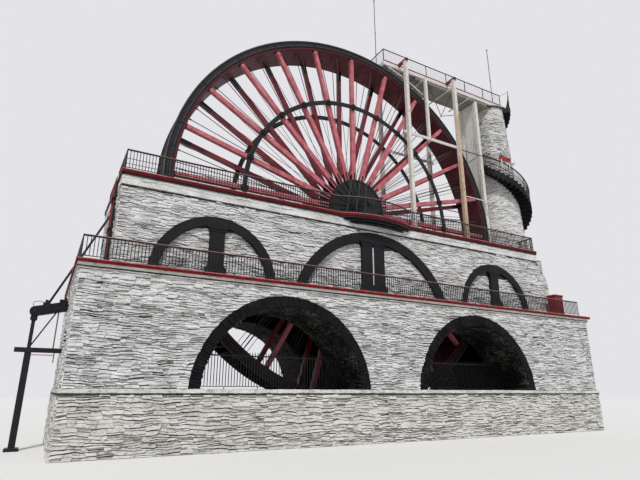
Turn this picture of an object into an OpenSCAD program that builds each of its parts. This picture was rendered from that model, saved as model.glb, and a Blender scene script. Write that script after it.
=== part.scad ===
// Overshot water wheel in its whitewashed stone housing, with its feed tower and platform.
// Sizes are in millimetres. +X runs along the front to the right, +Y to the back, +Z up.
// The origin is on the ground, straight under the middle of the axle.

/* [Wheel] */
// Outside radius of the wheel
wheel_r = 11050; // [10000:10:12400]
// Width over the two shrouds
wheel_w = 1830; // [1600:10:2000]
// Gap between the wheel and the floor of its pit
under_gap = 650; // [300:10:1000]
// Gap between the wheel and each end of its pit
pit_gap = 75; // [50:5:200]
// Running gap between a hub and the sides of the pit
hub_gap = 20; // [10:5:60]
// Depth of a shroud, from its outside edge inwards
shroud_h = 650; // [450:10:750]
// Thickness of a shroud
shroud_t = 110; // [60:5:140]
// Thickness of the sole, the drum behind the buckets
sole_t = 60; // [40:5:90]
// Number of buckets round the rim
bucket_count = 168; // [120:24:180]
// Thickness of a bucket board
bucket_t = 32; // [20:2:45]
// Number of spokes in each set
spoke_count = 24; // [20:2:24]
// Width of a spoke at the hub
spoke_w_root = 290; // [240:5:300]
// Width of a spoke at the rim
spoke_w_tip = 215; // [160:5:240]
// Depth of a spoke along the axle
spoke_t = 240; // [180:5:260]
// Middle radius of the iron ring that ties the spokes
inner_ring_r = 6880; // [5500:20:8000]
// Width of that ring across its flat face
inner_ring_w = 260; // [180:10:320]
// Thickness of that ring
inner_ring_t = 70; // [40:5:100]

/* [Hub and axle] */
// Radius of the hub's two plates
hub_r = 1740; // [1650:10:1850]
// Radius at which the spokes start, inside the hub
spoke_root_r = 1250; // [1200:10:1400]
// Thickness of the hub's outer casting
hub_out_t = 390; // [300:10:420]
// Thickness of the hub's inner plate
hub_in_t = 70; // [50:5:120]
// Radius of the hub's boss
boss_r = 600; // [450:10:700]
// How far the boss stands out of the hub
boss_out = 230; // [120:10:300]
// Number of ribs on the hub's face
hub_ribs = 12; // [8:2:16]
// Radius of the axle
axle_r = 265; // [200:5:300]
// Length of the axle
axle_l = 5200; // [5000:20:5400]
// Length of the iron strap on each spoke's root
strap_l = 760; // [500:20:900]
// Width of a strap
strap_w = 85; // [60:5:120]
// Radius of the thin tie rods between hub and rim
tie_r = 22; // [14:1:30]

/* [Lower tier] */
// Length of the solid left end, beside the wheel pit
low_end_l = 2975; // [2400:25:3500]
// How far the lower tier reaches past the pier under the tower
low_end_r = 200; // [100:10:400]
// Half the depth of the lower tier, over its walls
low_y = 4115; // [4000:5:4200]
// Height of the lower walkway's top
low_top = 6840; // [6740:20:6940]
// Height of the plinth, which carries the arches
plinth_h = 2300; // [2200:20:2360]
// How far the plinth stands out of the wall above
plinth_out = 60; // [30:5:80]
// Height of the ledge of long slabs on top of the plinth
plinth_band = 170; // [120:10:300]
// Top of the floor in the wheel pit
pit_floor_z = 700; // [400:20:900]
// Distance of each open arch from the middle of the wheel
arch_x = 5650; // [5400:10:5900]
// Half the width of an open arch over its ring
arch_hw = 4200; // [4000:10:4300]
// Rise of an open arch over its ring
arch_rise = 3900; // [3800:10:3950]
// Width of the ring of an open arch
arch_ring = 450; // [350:10:520]
// Depth of that ring into the wall
arch_ring_d = 600; // [300:10:800]

/* [Upper tier] */
// Length of the solid left end, beside the wheel pit
up_end_l = 1825; // [1400:25:2400]
// Length of the solid right end, beside the wheel pit
up_end_r = 2725; // [2300:25:3200]
// How far the right shoulder rakes back
up_rake = 950; // [700:10:1200]
// Half the depth of the upper tier, over its walls
up_y = 2965; // [2900:5:3000]
// Height of the axle above the upper walkway
bearing_h = 1250; // [1000:10:1500]
// Distance of each side blind arch from the middle
blind_x = 8750; // [8500:10:8800]
// Outside radius of a side blind arch
blind_r = 2875; // [2700:5:2950]
// Width of the ring of a side blind arch
blind_ring = 420; // [300:10:520]
// Place of the middle blind arch along the front
mid_x = -100; // [-200:10:200]
// Half the width of the middle blind arch over its ring
mid_hw = 4820; // [4600:10:4900]
// Rise of the middle blind arch over its ring
mid_rise = 3490; // [3300:10:3550]
// Width of the ring of the middle blind arch
mid_ring = 520; // [400:10:700]
// Depth of the blind arches into the wall
blind_d = 150; // [100:10:300]
// Width of a side pillar
pillar_w = 670; // [550:10:800]
// Place of the two middle pillars along the front
mid_pillar_x = -280; // [-400:10:200]
// Width of each middle pillar
mid_pillar_w = 640; // [500:10:700]
// Gap between the middle pillars
mid_pillar_gap = 130; // [80:10:200]
// How far the black rings and pillars stand out of the wall
ring_out = 25; // [10:5:40]

/* [Walkways and railings] */
// Thickness of the lower walkway
low_slab_t = 150; // [120:10:250]
// How far the lower walkway reaches past the wall in front and behind
low_slab_out = 200; // [150:10:260]
// Thickness of the upper walkway
up_slab_t = 170; // [120:10:220]
// How far the upper walkway reaches past the wall in front and behind
up_slab_out = 150; // [100:10:200]
// Height of the cornice under the lower walkway
low_cornice_h = 200; // [150:10:260]
// Height of the cornice under the upper walkway
up_cornice_h = 500; // [300:10:560]
// How far a cornice stands out of its wall
cornice_out = 80; // [40:5:95]
// Thickness of the red nosing round a walkway
nosing_t = 40; // [25:5:60]
// Half the width of the bowed balcony in front of the axle
bow_hw = 2300; // [2000:20:2500]
// How far the balcony bows out
bow_out = 540; // [300:10:650]
// Height of the lower railing
low_rail_h = 900; // [800:10:1100]
// Height of the upper railing
up_rail_h = 940; // [800:10:1100]
// Thickness of the bars and rails
bar_t = 28; // [20:1:36]
// Distance from one bar to the next
bar_pitch = 130; // [110:5:180]
// Height of a railing's top rail
top_rail_h = 60; // [40:5:80]
// Distance of a railing from the walkway's edge
rail_inset = 110; // [90:5:160]

/* [Platform] */
// Left end of the platform
deck_x0 = 2650; // [2500:10:2800]
// How far the platform reaches past the middle of the tower
deck_past = 500; // [300:10:700]
// Length of the landing between the platform and the stair
landing_l = 500; // [300:10:550]
// Half the width of the platform
deck_y = 815; // [780:5:880]
// Height of the platform above the top of the wheel
deck_up = 450; // [400:10:600]
// Depth of the white edge beams
deck_beam_h = 330; // [280:10:340]
// Thickness of the edge beams
deck_beam_t = 90; // [60:5:120]
// Thickness of the boards
deck_t = 50; // [30:5:70]
// Distance from one joist to the next
joist_pitch = 750; // [600:10:900]
// Height of the platform's railing
deck_rail_h = 940; // [800:10:1100]
// Thickness of the front and rear posts
post_t = 235; // [200:5:300]
// Distance of the outer posts from the edge of the wheel pit
post_gap = 25; // [10:5:80]
// Place along the front of the left post
post_a_x = 3950; // [3800:10:4100]
// Place along the front of the hanging post
post_b_x = 5900; // [5600:10:6100]
// Thickness of the hanging post
post_b_t = 180; // [140:5:220]
// Place along the front of the timber post
post_c_x = 8350; // [8200:10:8500]
// Gap between the wheel and the posts beside the tower
post_d_gap = 75; // [75:5:200]
// Thickness of the posts beside the tower
post_d_t = 240; // [200:10:330]
// Height of the long brace above the axle
brace_up = 6050; // [5600:50:6600]
// Depth of the long brace
brace_h = 200; // [150:10:260]
// Thickness of the long brace
brace_t = 70; // [50:5:100]
// Depth of the cross beams under the launder
under_beam_h = 170; // [120:10:220]
// Place of the right cross beam, left of the posts beside the tower
under_beam_gap = 850; // [600:10:1100]
// Depth of the launder, the trough that brings the water
launder_h = 220; // [160:10:260]
// Left end of the launder
launder_x0 = 5400; // [4800:10:5700]

/* [Tower] */
// Gap between the tower's foot and the posts beside it
tower_gap = 675; // [400:25:1000]
// Radius of the tower at the walkway
tower_r0 = 1560; // [1500:10:1600]
// Radius of the tower at its top
tower_r1 = 985; // [900:5:1000]
// Radius of the cap under the platform
cap_r = 1080; // [1050:5:1100]
// Radius of the pipe shaft inside the tower
shaft_r = 300; // [200:10:400]
// Height that the stair gains in a full turn
stair_pitch = 8600; // [8400:50:8800]
// Height of a riser
riser = 200; // [180:5:220]
// Outside radius of the stair at the walkway
stair_r0 = 2500; // [2400:10:2550]
// Outside radius of the stair at its top
stair_r1 = 1620; // [1600:10:1700]
// Height of the stair's handrail
stair_rail_h = 950; // [850:10:1100]
// Height of the tall post at the top of the stair
stair_post_h = 1500; // [1200:50:1800]

/* [Left end] */
// Reach of the black beam out of the lower wall
beam_reach = 1450; // [1300:10:1600]
// Height of the beam's outer end
beam_z = 5360; // [5000:10:5500]
// Slope of the beam, up to the wall
beam_rise = 14; // [5:1:18]
// Depth of the beam
beam_h = 400; // [300:10:500]
// Thickness of the beam
beam_t = 300; // [200:10:400]
// Thickness of the post under the beam
pole_t = 135; // [100:5:180]
// Underside of the rail from the post to the wall
frame_rail_z = 3690; // [3400:10:3900]
// Depth of that rail
frame_rail_h = 190; // [120:10:240]
// Radius of the long tie rod
stay_r = 48; // [35:1:60]

/* [Hidden] */
$fn = 96;
eps = 1;
// Seat clearance between curved faces of one body
seat = 0.3;
// Radial running clearance of the axle in its bearings
axle_clear = 0.1;

// Wheel, from the middle plane outwards
rim_y = wheel_w / 2;
sole_r = wheel_r - shroud_h;
sole_hw = rim_y - shroud_t;
spoke_y1 = rim_y - 10;
spoke_y0 = spoke_y1 - spoke_t;
spoke_step = 360 / spoke_count;
hub_face_y = spoke_y1 + hub_out_t;
tie_y_rim = rim_y * 0.36;
tie_twist = 1;
tie_lug = 34;
rib_t = 70;
rib_out = 60;
axle_z = pit_floor_z + under_gap + wheel_r;
pit_x = wheel_r + pit_gap;
pit_y = hub_face_y + rib_out + hub_gap;
strap_t = 30;
bucket_riser = 0.4;
bucket_run = 300;
bucket_edge = 25;

// Masonry, from the wheel outwards
post_d_x = wheel_r + post_d_gap + post_d_t / 2;
tower_x = post_d_x + post_d_t / 2 + tower_gap + tower_r0;
pier_x1 = tower_x + tower_r0 + 140;
pier_y = tower_r0 + 90;
low_x0 = -pit_x - low_end_l;
low_x1 = pier_x1 + low_end_r;
low_wall_top = low_top - low_slab_t - low_cornice_h;
up_x0 = -pit_x - up_end_l;
up_x1 = pit_x + up_end_r;
up_slab_x1 = up_x1 - up_rake;
up_top = axle_z - bearing_h;
up_wall_top = up_top - up_slab_t - up_cornice_h;
shoulder_z = up_wall_top - 1180;
shoulder_foot_z = up_wall_top - 1980;
low_slab_x0 = low_x0 - 150;
low_slab_x1 = low_x1 + 200;
low_slab_y = low_y + low_slab_out;
up_slab_x0 = up_x0 - 80;
up_slab_y = up_y + up_slab_out;
capital_h = 270;
capital_out = 60;
pillar_base_h = 140;
pillar_base_out = 110;

// Railings
bar_bottom = 90;
foot_pitch = 1600;
low_rail_y = low_slab_y - rail_inset;
up_rail_y = up_slab_y - rail_inset;
low_rail_x0 = low_slab_x0 + rail_inset;
low_rail_x1 = low_x1 - 700;
up_rail_x0 = up_slab_x0 + rail_inset;
up_rail_x1 = up_slab_x1 - rail_inset;
stay_gap = 300;
arch_rail_top = plinth_h + 1420;
arch_rail_y = low_y - 1500;

// Platform
deck_z = axle_z + wheel_r + deck_up;
deck_x1 = tower_x + deck_past;
landing_x1 = deck_x1 + landing_l;
deck_bottom = deck_z - deck_beam_h;
launder_bottom = deck_bottom - launder_h;
launder_y = deck_y - 15;
launder_t = 45;
cross_h = 190;
cross_w = 170;
cross_z = deck_z - 90;
kerb_h = 60;
kerb_t = 45;
screen_t = 60;
post_y = pit_y + post_gap + post_t / 2;
brace_y = post_y - post_t / 2;
brace_z = axle_z + brace_up;
post_b_y = brace_y - brace_t - post_b_t / 2;
post_d_y = deck_y + 20 - post_d_t / 2;
guard_t = 60;
guard_up = 2500;
mast_r = 28;
mast_h_left = 5600;
mast_h_right = 4960;

// Left end
beam_x0 = low_x0 - beam_reach;
beam_axis_x = beam_x0 + beam_h / 2;
stay_x = low_x0 - 880;

// Tower and stair: angles are counted from +X, and the stair climbs clockwise
tower_top = deck_bottom;
cap_h = 130;
stair_a_top = -405;
tread_count = floor((deck_z - up_top) / riser);
tread_a = 360 * riser / stair_pitch;
tread_lap = 0.9;
tread_body = 200;
rail_r = 22;
rail_sides = 4;
long_rail_up = 5860;
long_rail_r = 28;
long_rail_gap = 0.8;

// Radius of a circle with a chord of half width w and a rise of h
function arc_r(w, h) = (w * w + h * h) / (2 * h);
function lerp(a, b, t) = a + (b - a) * t;
function tower_rad(z) = lerp(tower_r0, tower_r1, (z - up_top) / (tower_top - up_top));
function stair_rad(z) = lerp(stair_r0, stair_r1, (z - up_top) / (deck_z - up_top));
function stair_ang(z) = stair_a_top + 360 * (deck_z - z) / stair_pitch;

module box(x0, x1, y0, y1, z0, z1) {
  translate([x0, y0, z0]) cube([x1 - x0, y1 - y0, z1 - z0]);
}

// The shape and its mirror image behind the wheel's middle plane
module front_and_rear() {
  children();
  mirror([0, 1, 0]) children();
}

// A profile drawn in X and Z, extruded from y0 to y1
module between_y(y0, y1) {
  translate([0, y1, 0]) rotate([90, 0, 0]) linear_extrude(y1 - y0) children();
}

// A profile drawn in Y and Z, extruded from x0 to x1
module between_x(x0, x1) {
  translate([x0, 0, 0]) rotate([90, 0, 90]) linear_extrude(x1 - x0) children();
}

module bar_between(a, b, r) {
  d = b - a;
  len = norm(d);
  translate(a) rotate([0, acos(d[2] / len), atan2(d[1], d[0])]) cylinder(h = len, r = r, $fn = 24);
}

// Foundation and lower tier

module foundation_outline(out) {
  translate([low_x0 - out, -low_y - out])
    square([low_x1 - low_x0 + 2 * out, 2 * (low_y + out)]);
}

module pit_outline() {
  translate([-pit_x, -pit_y]) square([2 * pit_x, 2 * pit_y]);
}

module foundation() color("ghostwhite") {
  linear_extrude(pit_floor_z) foundation_outline(plinth_out);
  translate([0, 0, pit_floor_z]) linear_extrude(plinth_h - plinth_band - pit_floor_z) difference() {
    foundation_outline(plinth_out);
    pit_outline();
  }
  translate([0, 0, plinth_h - plinth_band]) linear_extrude(plinth_band) difference() {
    foundation_outline(plinth_out + 30);
    pit_outline();
  }
}

// One open arch standing on the plinth: its edge is moved in by inset, its foot lowered by down
module open_arch(inset, down = 0) {
  r = arc_r(arch_hw, arch_rise);
  intersection() {
    translate([0, plinth_h + arch_rise - r]) circle(r - inset, $fn = 360);
    translate([-arch_hw - 20, plinth_h - down]) square([2 * arch_hw + 40, arch_rise + down + 20]);
  }
}

module lower_wall() {
  difference() {
    box(low_x0, low_x1, -low_y, -pit_y, plinth_h, low_wall_top);
    for (x = [-arch_x, arch_x]) translate([x, 0, 0]) {
      between_y(-low_y - eps, -pit_y + eps) open_arch(arch_ring, eps);
      between_y(-low_y - eps, -low_y + arch_ring_d) open_arch(-seat, eps);
    }
  }
}

module lower_wall_front() color("white") lower_wall();
module lower_wall_rear() color("white") mirror([0, 1, 0]) lower_wall();

module lower_end_walls() color("white") {
  box(low_x0, -pit_x, -pit_y, pit_y, plinth_h, low_wall_top);
  box(pit_x, low_x1, -pit_y, pit_y, plinth_h, low_wall_top);
}

module lower_arch_rings() color("dimgray") front_and_rear() {
  for (x = [-arch_x, arch_x]) translate([x, 0, 0])
    between_y(-low_y - ring_out, -low_y + arch_ring_d) difference() {
      open_arch(0);
      open_arch(arch_ring, eps);
    }
}

module slab_outline(x0, x1, y) {
  translate([x0, -y]) square([x1 - x0, 2 * y]);
}

module lower_walkway() color("lightgray") {
  translate([0, 0, low_wall_top]) linear_extrude(low_cornice_h) difference() {
    slab_outline(low_x0 - cornice_out, low_x1 + cornice_out, low_y + cornice_out);
    pit_outline();
  }
  translate([0, 0, low_top - low_slab_t]) linear_extrude(low_slab_t) difference() {
    slab_outline(low_slab_x0 + nosing_t, low_slab_x1 - nosing_t, low_slab_y - nosing_t);
    pit_outline();
  }
}

module lower_nosing() color("firebrick") {
  translate([0, 0, low_top - low_slab_t]) linear_extrude(low_slab_t) difference() {
    slab_outline(low_slab_x0, low_slab_x1, low_slab_y);
    slab_outline(low_slab_x0 + nosing_t, low_slab_x1 - nosing_t, low_slab_y - nosing_t);
  }
}

// Upper tier

// A side blind arch: its edge is moved in by inset, its foot lowered by down
module side_arch(inset, down = 0) {
  intersection() {
    translate([0, low_top]) circle(blind_r - inset, $fn = 360);
    translate([-blind_r - 20, low_top - down]) square([2 * blind_r + 40, blind_r + down + 20]);
  }
}

module mid_arch(inset, down = 0) {
  r = arc_r(mid_hw, mid_rise);
  intersection() {
    translate([0, low_top + mid_rise - r]) circle(r - inset, $fn = 360);
    translate([-mid_hw - 20, low_top - down]) square([2 * mid_hw + 40, mid_rise + down + 20]);
  }
}

module upper_wall() {
  difference() {
    between_y(-up_y, -pit_y) polygon([
      [up_x0, low_top], [up_x1, low_top], [up_x1, shoulder_foot_z], [up_x1 - 100, shoulder_z],
      [up_slab_x1, up_wall_top], [up_x0, up_wall_top]
    ]);
    between_y(-up_y - eps, -up_y + blind_d) {
      for (x = [-blind_x, blind_x]) translate([x, 0]) side_arch(-seat, eps);
      translate([mid_x, 0]) mid_arch(-seat, eps);
    }
  }
}

module upper_wall_front() color("white") upper_wall();
module upper_wall_rear() color("white") mirror([0, 1, 0]) upper_wall();

module upper_end_walls() color("white") {
  box(up_x0, -pit_x, -pit_y, pit_y, low_top, up_wall_top);
  box(pit_x, up_x1, -pit_y, pit_y, low_top, up_wall_top);
  box(up_x1, pier_x1, -pier_y, pier_y, low_top, up_wall_top);
  box(up_slab_x1, pier_x1, -pier_y, pier_y, up_wall_top, up_top);
}

module blind_arch_rings() color("dimgray") front_and_rear() {
  between_y(-up_y - ring_out, -up_y + blind_d) {
    for (x = [-blind_x, blind_x]) translate([x, 0]) difference() {
      side_arch(0);
      side_arch(blind_ring, eps);
    }
    translate([mid_x, 0]) difference() {
      mid_arch(0);
      mid_arch(mid_ring, eps);
    }
  }
}

// The widened base and capital of a pillar or pair, w wide over the shafts and h high
module pillar_ends(w, h) {
  translate([-w / 2 - pillar_base_out, low_top]) square([w + 2 * pillar_base_out, pillar_base_h]);
  translate([-w / 2 - capital_out, low_top + h - capital_h]) square([w + 2 * capital_out, capital_h]);
}

module pillars() color("dimgray") front_and_rear() {
  pair_w = 2 * mid_pillar_w + mid_pillar_gap;
  between_y(-up_y, -up_y + blind_d) {
    for (x = [-blind_x, blind_x]) translate([x, 0]) intersection() {
      union() {
        translate([-pillar_w / 2, low_top]) square([pillar_w, blind_r]);
        pillar_ends(pillar_w, blind_r - blind_ring);
      }
      side_arch(blind_ring + seat);
    }
    intersection() {
      translate([mid_pillar_x, 0]) {
        for (s = [-1, 1]) translate([s * (mid_pillar_w + mid_pillar_gap) / 2 - mid_pillar_w / 2, low_top])
          square([mid_pillar_w, mid_rise]);
        pillar_ends(pair_w, mid_rise - mid_ring);
      }
      translate([mid_x, 0]) mid_arch(mid_ring + seat);
    }
  }
}

// The balcony's bow in front of the axle, with its edge moved in
module bow_outline(in) {
  r = arc_r(bow_hw, bow_out);
  intersection() {
    translate([0, -up_slab_y - bow_out + r]) circle(r - in, $fn = 360);
    translate([-bow_hw - 300, -up_slab_y - bow_out - 50]) square([2 * bow_hw + 600, bow_out + 70 + in]);
  }
}

module upper_outline(in) {
  translate([up_slab_x0 + in, -up_slab_y + in])
    square([up_slab_x1 - up_slab_x0 - 2 * in, 2 * (up_slab_y - in)]);
  bow_outline(in);
  mirror([0, 1]) bow_outline(in);
}

module upper_walkway() color("lightgray") {
  translate([0, 0, up_wall_top]) linear_extrude(up_cornice_h) difference() {
    slab_outline(up_x0 - cornice_out / 2, up_slab_x1, up_y + cornice_out);
    pit_outline();
  }
  translate([0, 0, up_top - up_slab_t]) linear_extrude(up_slab_t) difference() {
    upper_outline(nosing_t + seat);
    pit_outline();
  }
}

module upper_nosing() color("firebrick") {
  translate([0, 0, up_top - up_slab_t]) linear_extrude(up_slab_t) difference() {
    upper_outline(0);
    upper_outline(nosing_t);
    translate([up_slab_x1 - 500, -pier_y - 50]) square([600, 2 * (pier_y + 50)]);
  }
}

// Railings

// A flat panel of upright bars from x0 to x1, drawn in X and Z
module bar_panel(x0, x1, z0, h) {
  n = round((x1 - x0 - bar_t) / bar_pitch);
  step = (x1 - x0 - bar_t) / n;
  feet = ceil((x1 - x0) / foot_pitch);
  foot_step = (x1 - x0 - bar_t) / feet;
  difference() {
    translate([x0, z0]) square([x1 - x0, h]);
    for (i = [0:n - 1]) translate([x0 + bar_t + i * step, z0 + bar_bottom + bar_t])
      square([step - bar_t, h - bar_bottom - bar_t - top_rail_h]);
    for (i = [0:feet - 1]) translate([x0 + bar_t + i * foot_step, z0 - eps])
      square([foot_step - bar_t, bar_bottom + eps]);
  }
}

module low_railing() {
  between_y(-low_rail_y, -low_rail_y + bar_t) bar_panel(low_rail_x0, low_rail_x1, low_top, low_rail_h);
}

module lower_railing_front() color("black") low_railing();
module lower_railing_rear() color("black") mirror([0, 1, 0]) low_railing();

// The bowed stretch of the upper railing, on the balcony's edge
module bow_railing() {
  r = arc_r(bow_hw, bow_out) - rail_inset;
  half = asin((bow_hw - rail_inset) / (r + rail_inset));
  n = 2 * round(r * half * PI / 180 / bar_pitch);
  cy = -up_slab_y - bow_out + r + rail_inset;
  for (z = [up_top + bar_bottom, up_top + up_rail_h - top_rail_h]) intersection() {
    translate([0, cy, z]) difference() {
      cylinder(h = z > up_top + up_rail_h / 2 ? top_rail_h : bar_t, r = r);
      translate([0, 0, -eps]) cylinder(h = top_rail_h + 2 * eps, r = r - bar_t);
    }
    box(-r * sin(half), r * sin(half), cy - r - eps, cy - r * cos(half) + bar_t, up_top, up_top + up_rail_h + eps);
  }
  for (i = [0:n]) rotate_about([0, cy, 0], lerp(-half, half, i / n))
    translate([0, cy - r + bar_t / 2, up_top + seat])
      cylinder(h = up_rail_h - top_rail_h / 2 - seat, r = bar_t / 2.2, $fn = 24);
}

module rotate_about(p, a) {
  translate(p) rotate([0, 0, a]) translate(-p) children();
}

module up_railing() {
  r = arc_r(bow_hw, bow_out) - rail_inset;
  half = asin((bow_hw - rail_inset) / (r + rail_inset));
  x = r * sin(half) + bar_t;
  between_y(-up_rail_y, -up_rail_y + bar_t) {
    bar_panel(up_rail_x0, -x, up_top, up_rail_h);
    bar_panel(x, up_rail_x1, up_top, up_rail_h);
  }
  bow_railing();
}

module upper_railing_front() color("black") up_railing();
module upper_railing_rear() color("black") mirror([0, 1, 0]) up_railing();

module end_railings() color("black") {
  front_and_rear() {
    between_x(low_rail_x0, low_rail_x0 + bar_t)
      bar_panel(stay_gap, low_rail_y - bar_t - seat, low_top, low_rail_h);
    between_x(up_rail_x0, up_rail_x0 + bar_t)
      bar_panel(stay_gap, up_rail_y - bar_t - seat, up_top, up_rail_h);
  }
  between_x(up_rail_x1 - bar_t, up_rail_x1)
    bar_panel(-up_rail_y + bar_t + seat, -pier_y - 100, up_top, up_rail_h);
}

module arch_railing() color("black") {
  hw = arch_hw - arch_ring + 60;
  for (x = [-arch_x, arch_x]) translate([x, 0, 0])
    between_y(-arch_rail_y, -arch_rail_y + bar_t) intersection() {
      bar_panel(-hw, hw, plinth_h, arch_rail_top - plinth_h);
      open_arch(arch_ring + seat);
    }
}

// Bearings, platform and posts

module bearings() color("darkslategray") front_and_rear() {
  y0 = -axle_l / 2 + 150;
  y1 = -axle_l / 2 + 700;
  difference() {
    union() {
      box(-750, 750, y0 - 60, y1 + 60, up_top, up_top + 130);
      between_y(y0, y1) polygon([
        [-600, up_top + 130], [600, up_top + 130], [430, axle_z], [-430, axle_z]
      ]);
      between_y(y0 + 40, y1 - 40) translate([0, axle_z]) circle(430);
    }
    between_y(y0 - eps, y1 + eps) translate([0, axle_z]) circle(axle_r + axle_clear);
  }
}

module platform_deck() color("silver") {
  box(deck_x0 + deck_beam_t, deck_x1, -deck_y + deck_beam_t, deck_y - deck_beam_t, deck_z - deck_t, deck_z);
  box(deck_x1, landing_x1, -deck_y, deck_y, deck_z - deck_t, deck_z);
}

module platform_frame() color("whitesmoke") {
  top = deck_z - deck_t;
  for (s = [-1, 1]) translate([0, s * (deck_y - deck_beam_t / 2), 0])
    box(deck_x0, deck_x1, -deck_beam_t / 2, deck_beam_t / 2, deck_bottom, deck_z);
  box(deck_x0, deck_x0 + deck_beam_t, -deck_y, deck_y, deck_bottom, deck_z);
  n = floor((deck_x1 - deck_x0) / joist_pitch);
  for (i = [1:n]) box(
    deck_x0 + i * joist_pitch - 40, deck_x0 + i * joist_pitch + 40,
    -deck_y + deck_beam_t, deck_y - deck_beam_t, deck_bottom, top
  );
}

module platform_timbers() color("firebrick") front_and_rear() {
  for (x = [post_a_x, post_c_x])
    box(x - cross_w / 2, x + cross_w / 2, -post_y - post_t / 2 - 60, -deck_y, cross_z, cross_z + cross_h);
  box(deck_x0, deck_x1, -deck_y, -deck_y + kerb_t, deck_z, deck_z + kerb_h);
}

// A square post on the walkway or hanging from the platform
module square_post(x, y, t, z0, z1) {
  box(x - t / 2, x + t / 2, y - t / 2, y + t / 2, z0, z1);
}

module platform_posts() color("antiquewhite") front_and_rear() {
  square_post(post_a_x, -post_y, post_t, up_top, cross_z);
  square_post(post_c_x, -post_y, post_t, up_top, cross_z);
  square_post(post_b_x, -post_b_y, post_b_t, brace_z - brace_h / 2, launder_bottom - under_beam_h);
  square_post(post_d_x, -post_d_y, post_d_t, up_top, launder_bottom);
}

// A beam across under the launder, from y0 to its mirror image
module under_beam(x, y0) {
  box(x - cross_w / 2, x + cross_w / 2, y0, -y0, launder_bottom - under_beam_h, launder_bottom);
}

module platform_braces() color("whitesmoke") {
  front_and_rear() {
    box(
      post_a_x - 300, post_c_x + 200, -brace_y, -brace_y + brace_t, brace_z - brace_h / 2,
      brace_z + brace_h / 2
    );
    guard_rail();
  }
  under_beam(post_b_x, -post_b_y - post_b_t / 2);
  under_beam(post_c_x, -brace_y);
  under_beam(post_d_x - under_beam_gap, -deck_y - 350);
}

// The rail that keeps people off the wheel, from the timber post to the post beside the tower
module guard_rail() {
  x1 = post_d_x - post_d_t / 2 + guard_t;
  y1 = brace_y - brace_t;
  z = axle_z + guard_up;
  box(post_c_x - guard_t / 2, x1, -y1, -y1 + guard_t, z, z + guard_t);
  box(post_c_x - guard_t / 2, post_c_x + guard_t / 2, -brace_y, -y1, z, z + guard_t);
  box(x1 - guard_t, x1, -y1, -post_d_y - post_d_t / 2, z, z + guard_t);
}

module platform_railing() color("dimgray") {
  z0 = deck_z + kerb_h;
  h = deck_rail_h - kerb_h;
  n = 6;
  step = (deck_x1 - deck_x0 - bar_t) / n;
  front_and_rear() between_y(-deck_y, -deck_y + bar_t) difference() {
    translate([deck_x0, z0]) square([deck_x1 - deck_x0, h]);
    for (i = [0:n - 1]) translate([deck_x0 + bar_t + i * step, z0 - eps])
      square([step - bar_t, h + eps - bar_t]);
  }
  between_x(deck_x0, deck_x0 + bar_t) difference() {
    translate([-deck_y + kerb_t, deck_z]) square([2 * (deck_y - kerb_t), deck_rail_h]);
    translate([-deck_y + kerb_t + bar_t, deck_z - eps])
      square([2 * (deck_y - kerb_t - bar_t), deck_rail_h + eps - bar_t]);
  }
}

module launder() color("darkgray") {
  x1 = tower_x - cap_r - 20;
  difference() {
    box(launder_x0, x1, -launder_y, launder_y, launder_bottom, deck_bottom);
    box(
      launder_x0 - eps, x1 - launder_t, -launder_y + launder_t, launder_y - launder_t,
      launder_bottom + launder_t, deck_bottom + eps
    );
  }
}

module splash_screen() color("gainsboro") {
  y = post_d_y - post_d_t / 2;
  box(post_d_x - screen_t / 2, post_d_x + screen_t / 2, -y, y, up_top, launder_bottom);
}

// Tower and stair

module tower() color("white") translate([tower_x, 0, 0]) rotate_extrude() polygon([
  [shaft_r, up_top], [tower_r0, up_top], [tower_rad(tower_top - cap_h), tower_top - cap_h],
  [cap_r, tower_top - cap_h], [cap_r, tower_top], [shaft_r, tower_top]
]);

module tread(i) {
  z = up_top + (i + 1) * riser;
  a = stair_ang(z);
  z0 = max(up_top, z - riser - tread_body);
  r0 = z > tower_top - cap_h ? cap_r : tower_rad(z0);
  r1 = stair_rad(z);
  translate([0, 0, z0]) linear_extrude(z - z0) difference() {
    intersection() {
      circle(r1, $fn = 360);
      polygon([
        [0, 0], 2 * r1 * [cos(a + tread_a * tread_lap), sin(a + tread_a * tread_lap)],
        2 * r1 * [cos(a - tread_a * tread_lap), sin(a - tread_a * tread_lap)]
      ]);
    }
    circle(r0 + seat, $fn = 360);
  }
}

module tower_stair() color("black") translate([tower_x, 0, 0]) for (i = [0:tread_count - 1]) tread(i);

// Points of a square tube that follows the stair, at a height above the treads
function helix_ring(i, n, lift, in) =
  let (z = lerp(up_top + riser, deck_z, i / n), a = stair_ang(z), r = stair_rad(z) - in)
  [for (k = [0:rail_sides - 1]) let (b = 360 * k / rail_sides)
    [(r + rail_r * cos(b)) * cos(a), (r + rail_r * cos(b)) * sin(a), z + lift + rail_r * sin(b)]];

module helix_tube(lift, in, n) {
  m = rail_sides;
  points = [for (i = [0:n]) each helix_ring(i, n, lift, in)];
  sides = [for (i = [0:n - 1]) for (k = [0:m - 1]) each [
    [i * m + k, (i + 1) * m + k, i * m + (k + 1) % m],
    [i * m + (k + 1) % m, (i + 1) * m + k, (i + 1) * m + (k + 1) % m]
  ]];
  polyhedron(points, concat(sides, [[for (k = [0:m - 1]) k]], [[for (k = [m - 1:-1:0]) n * m + k]]));
}

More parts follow.
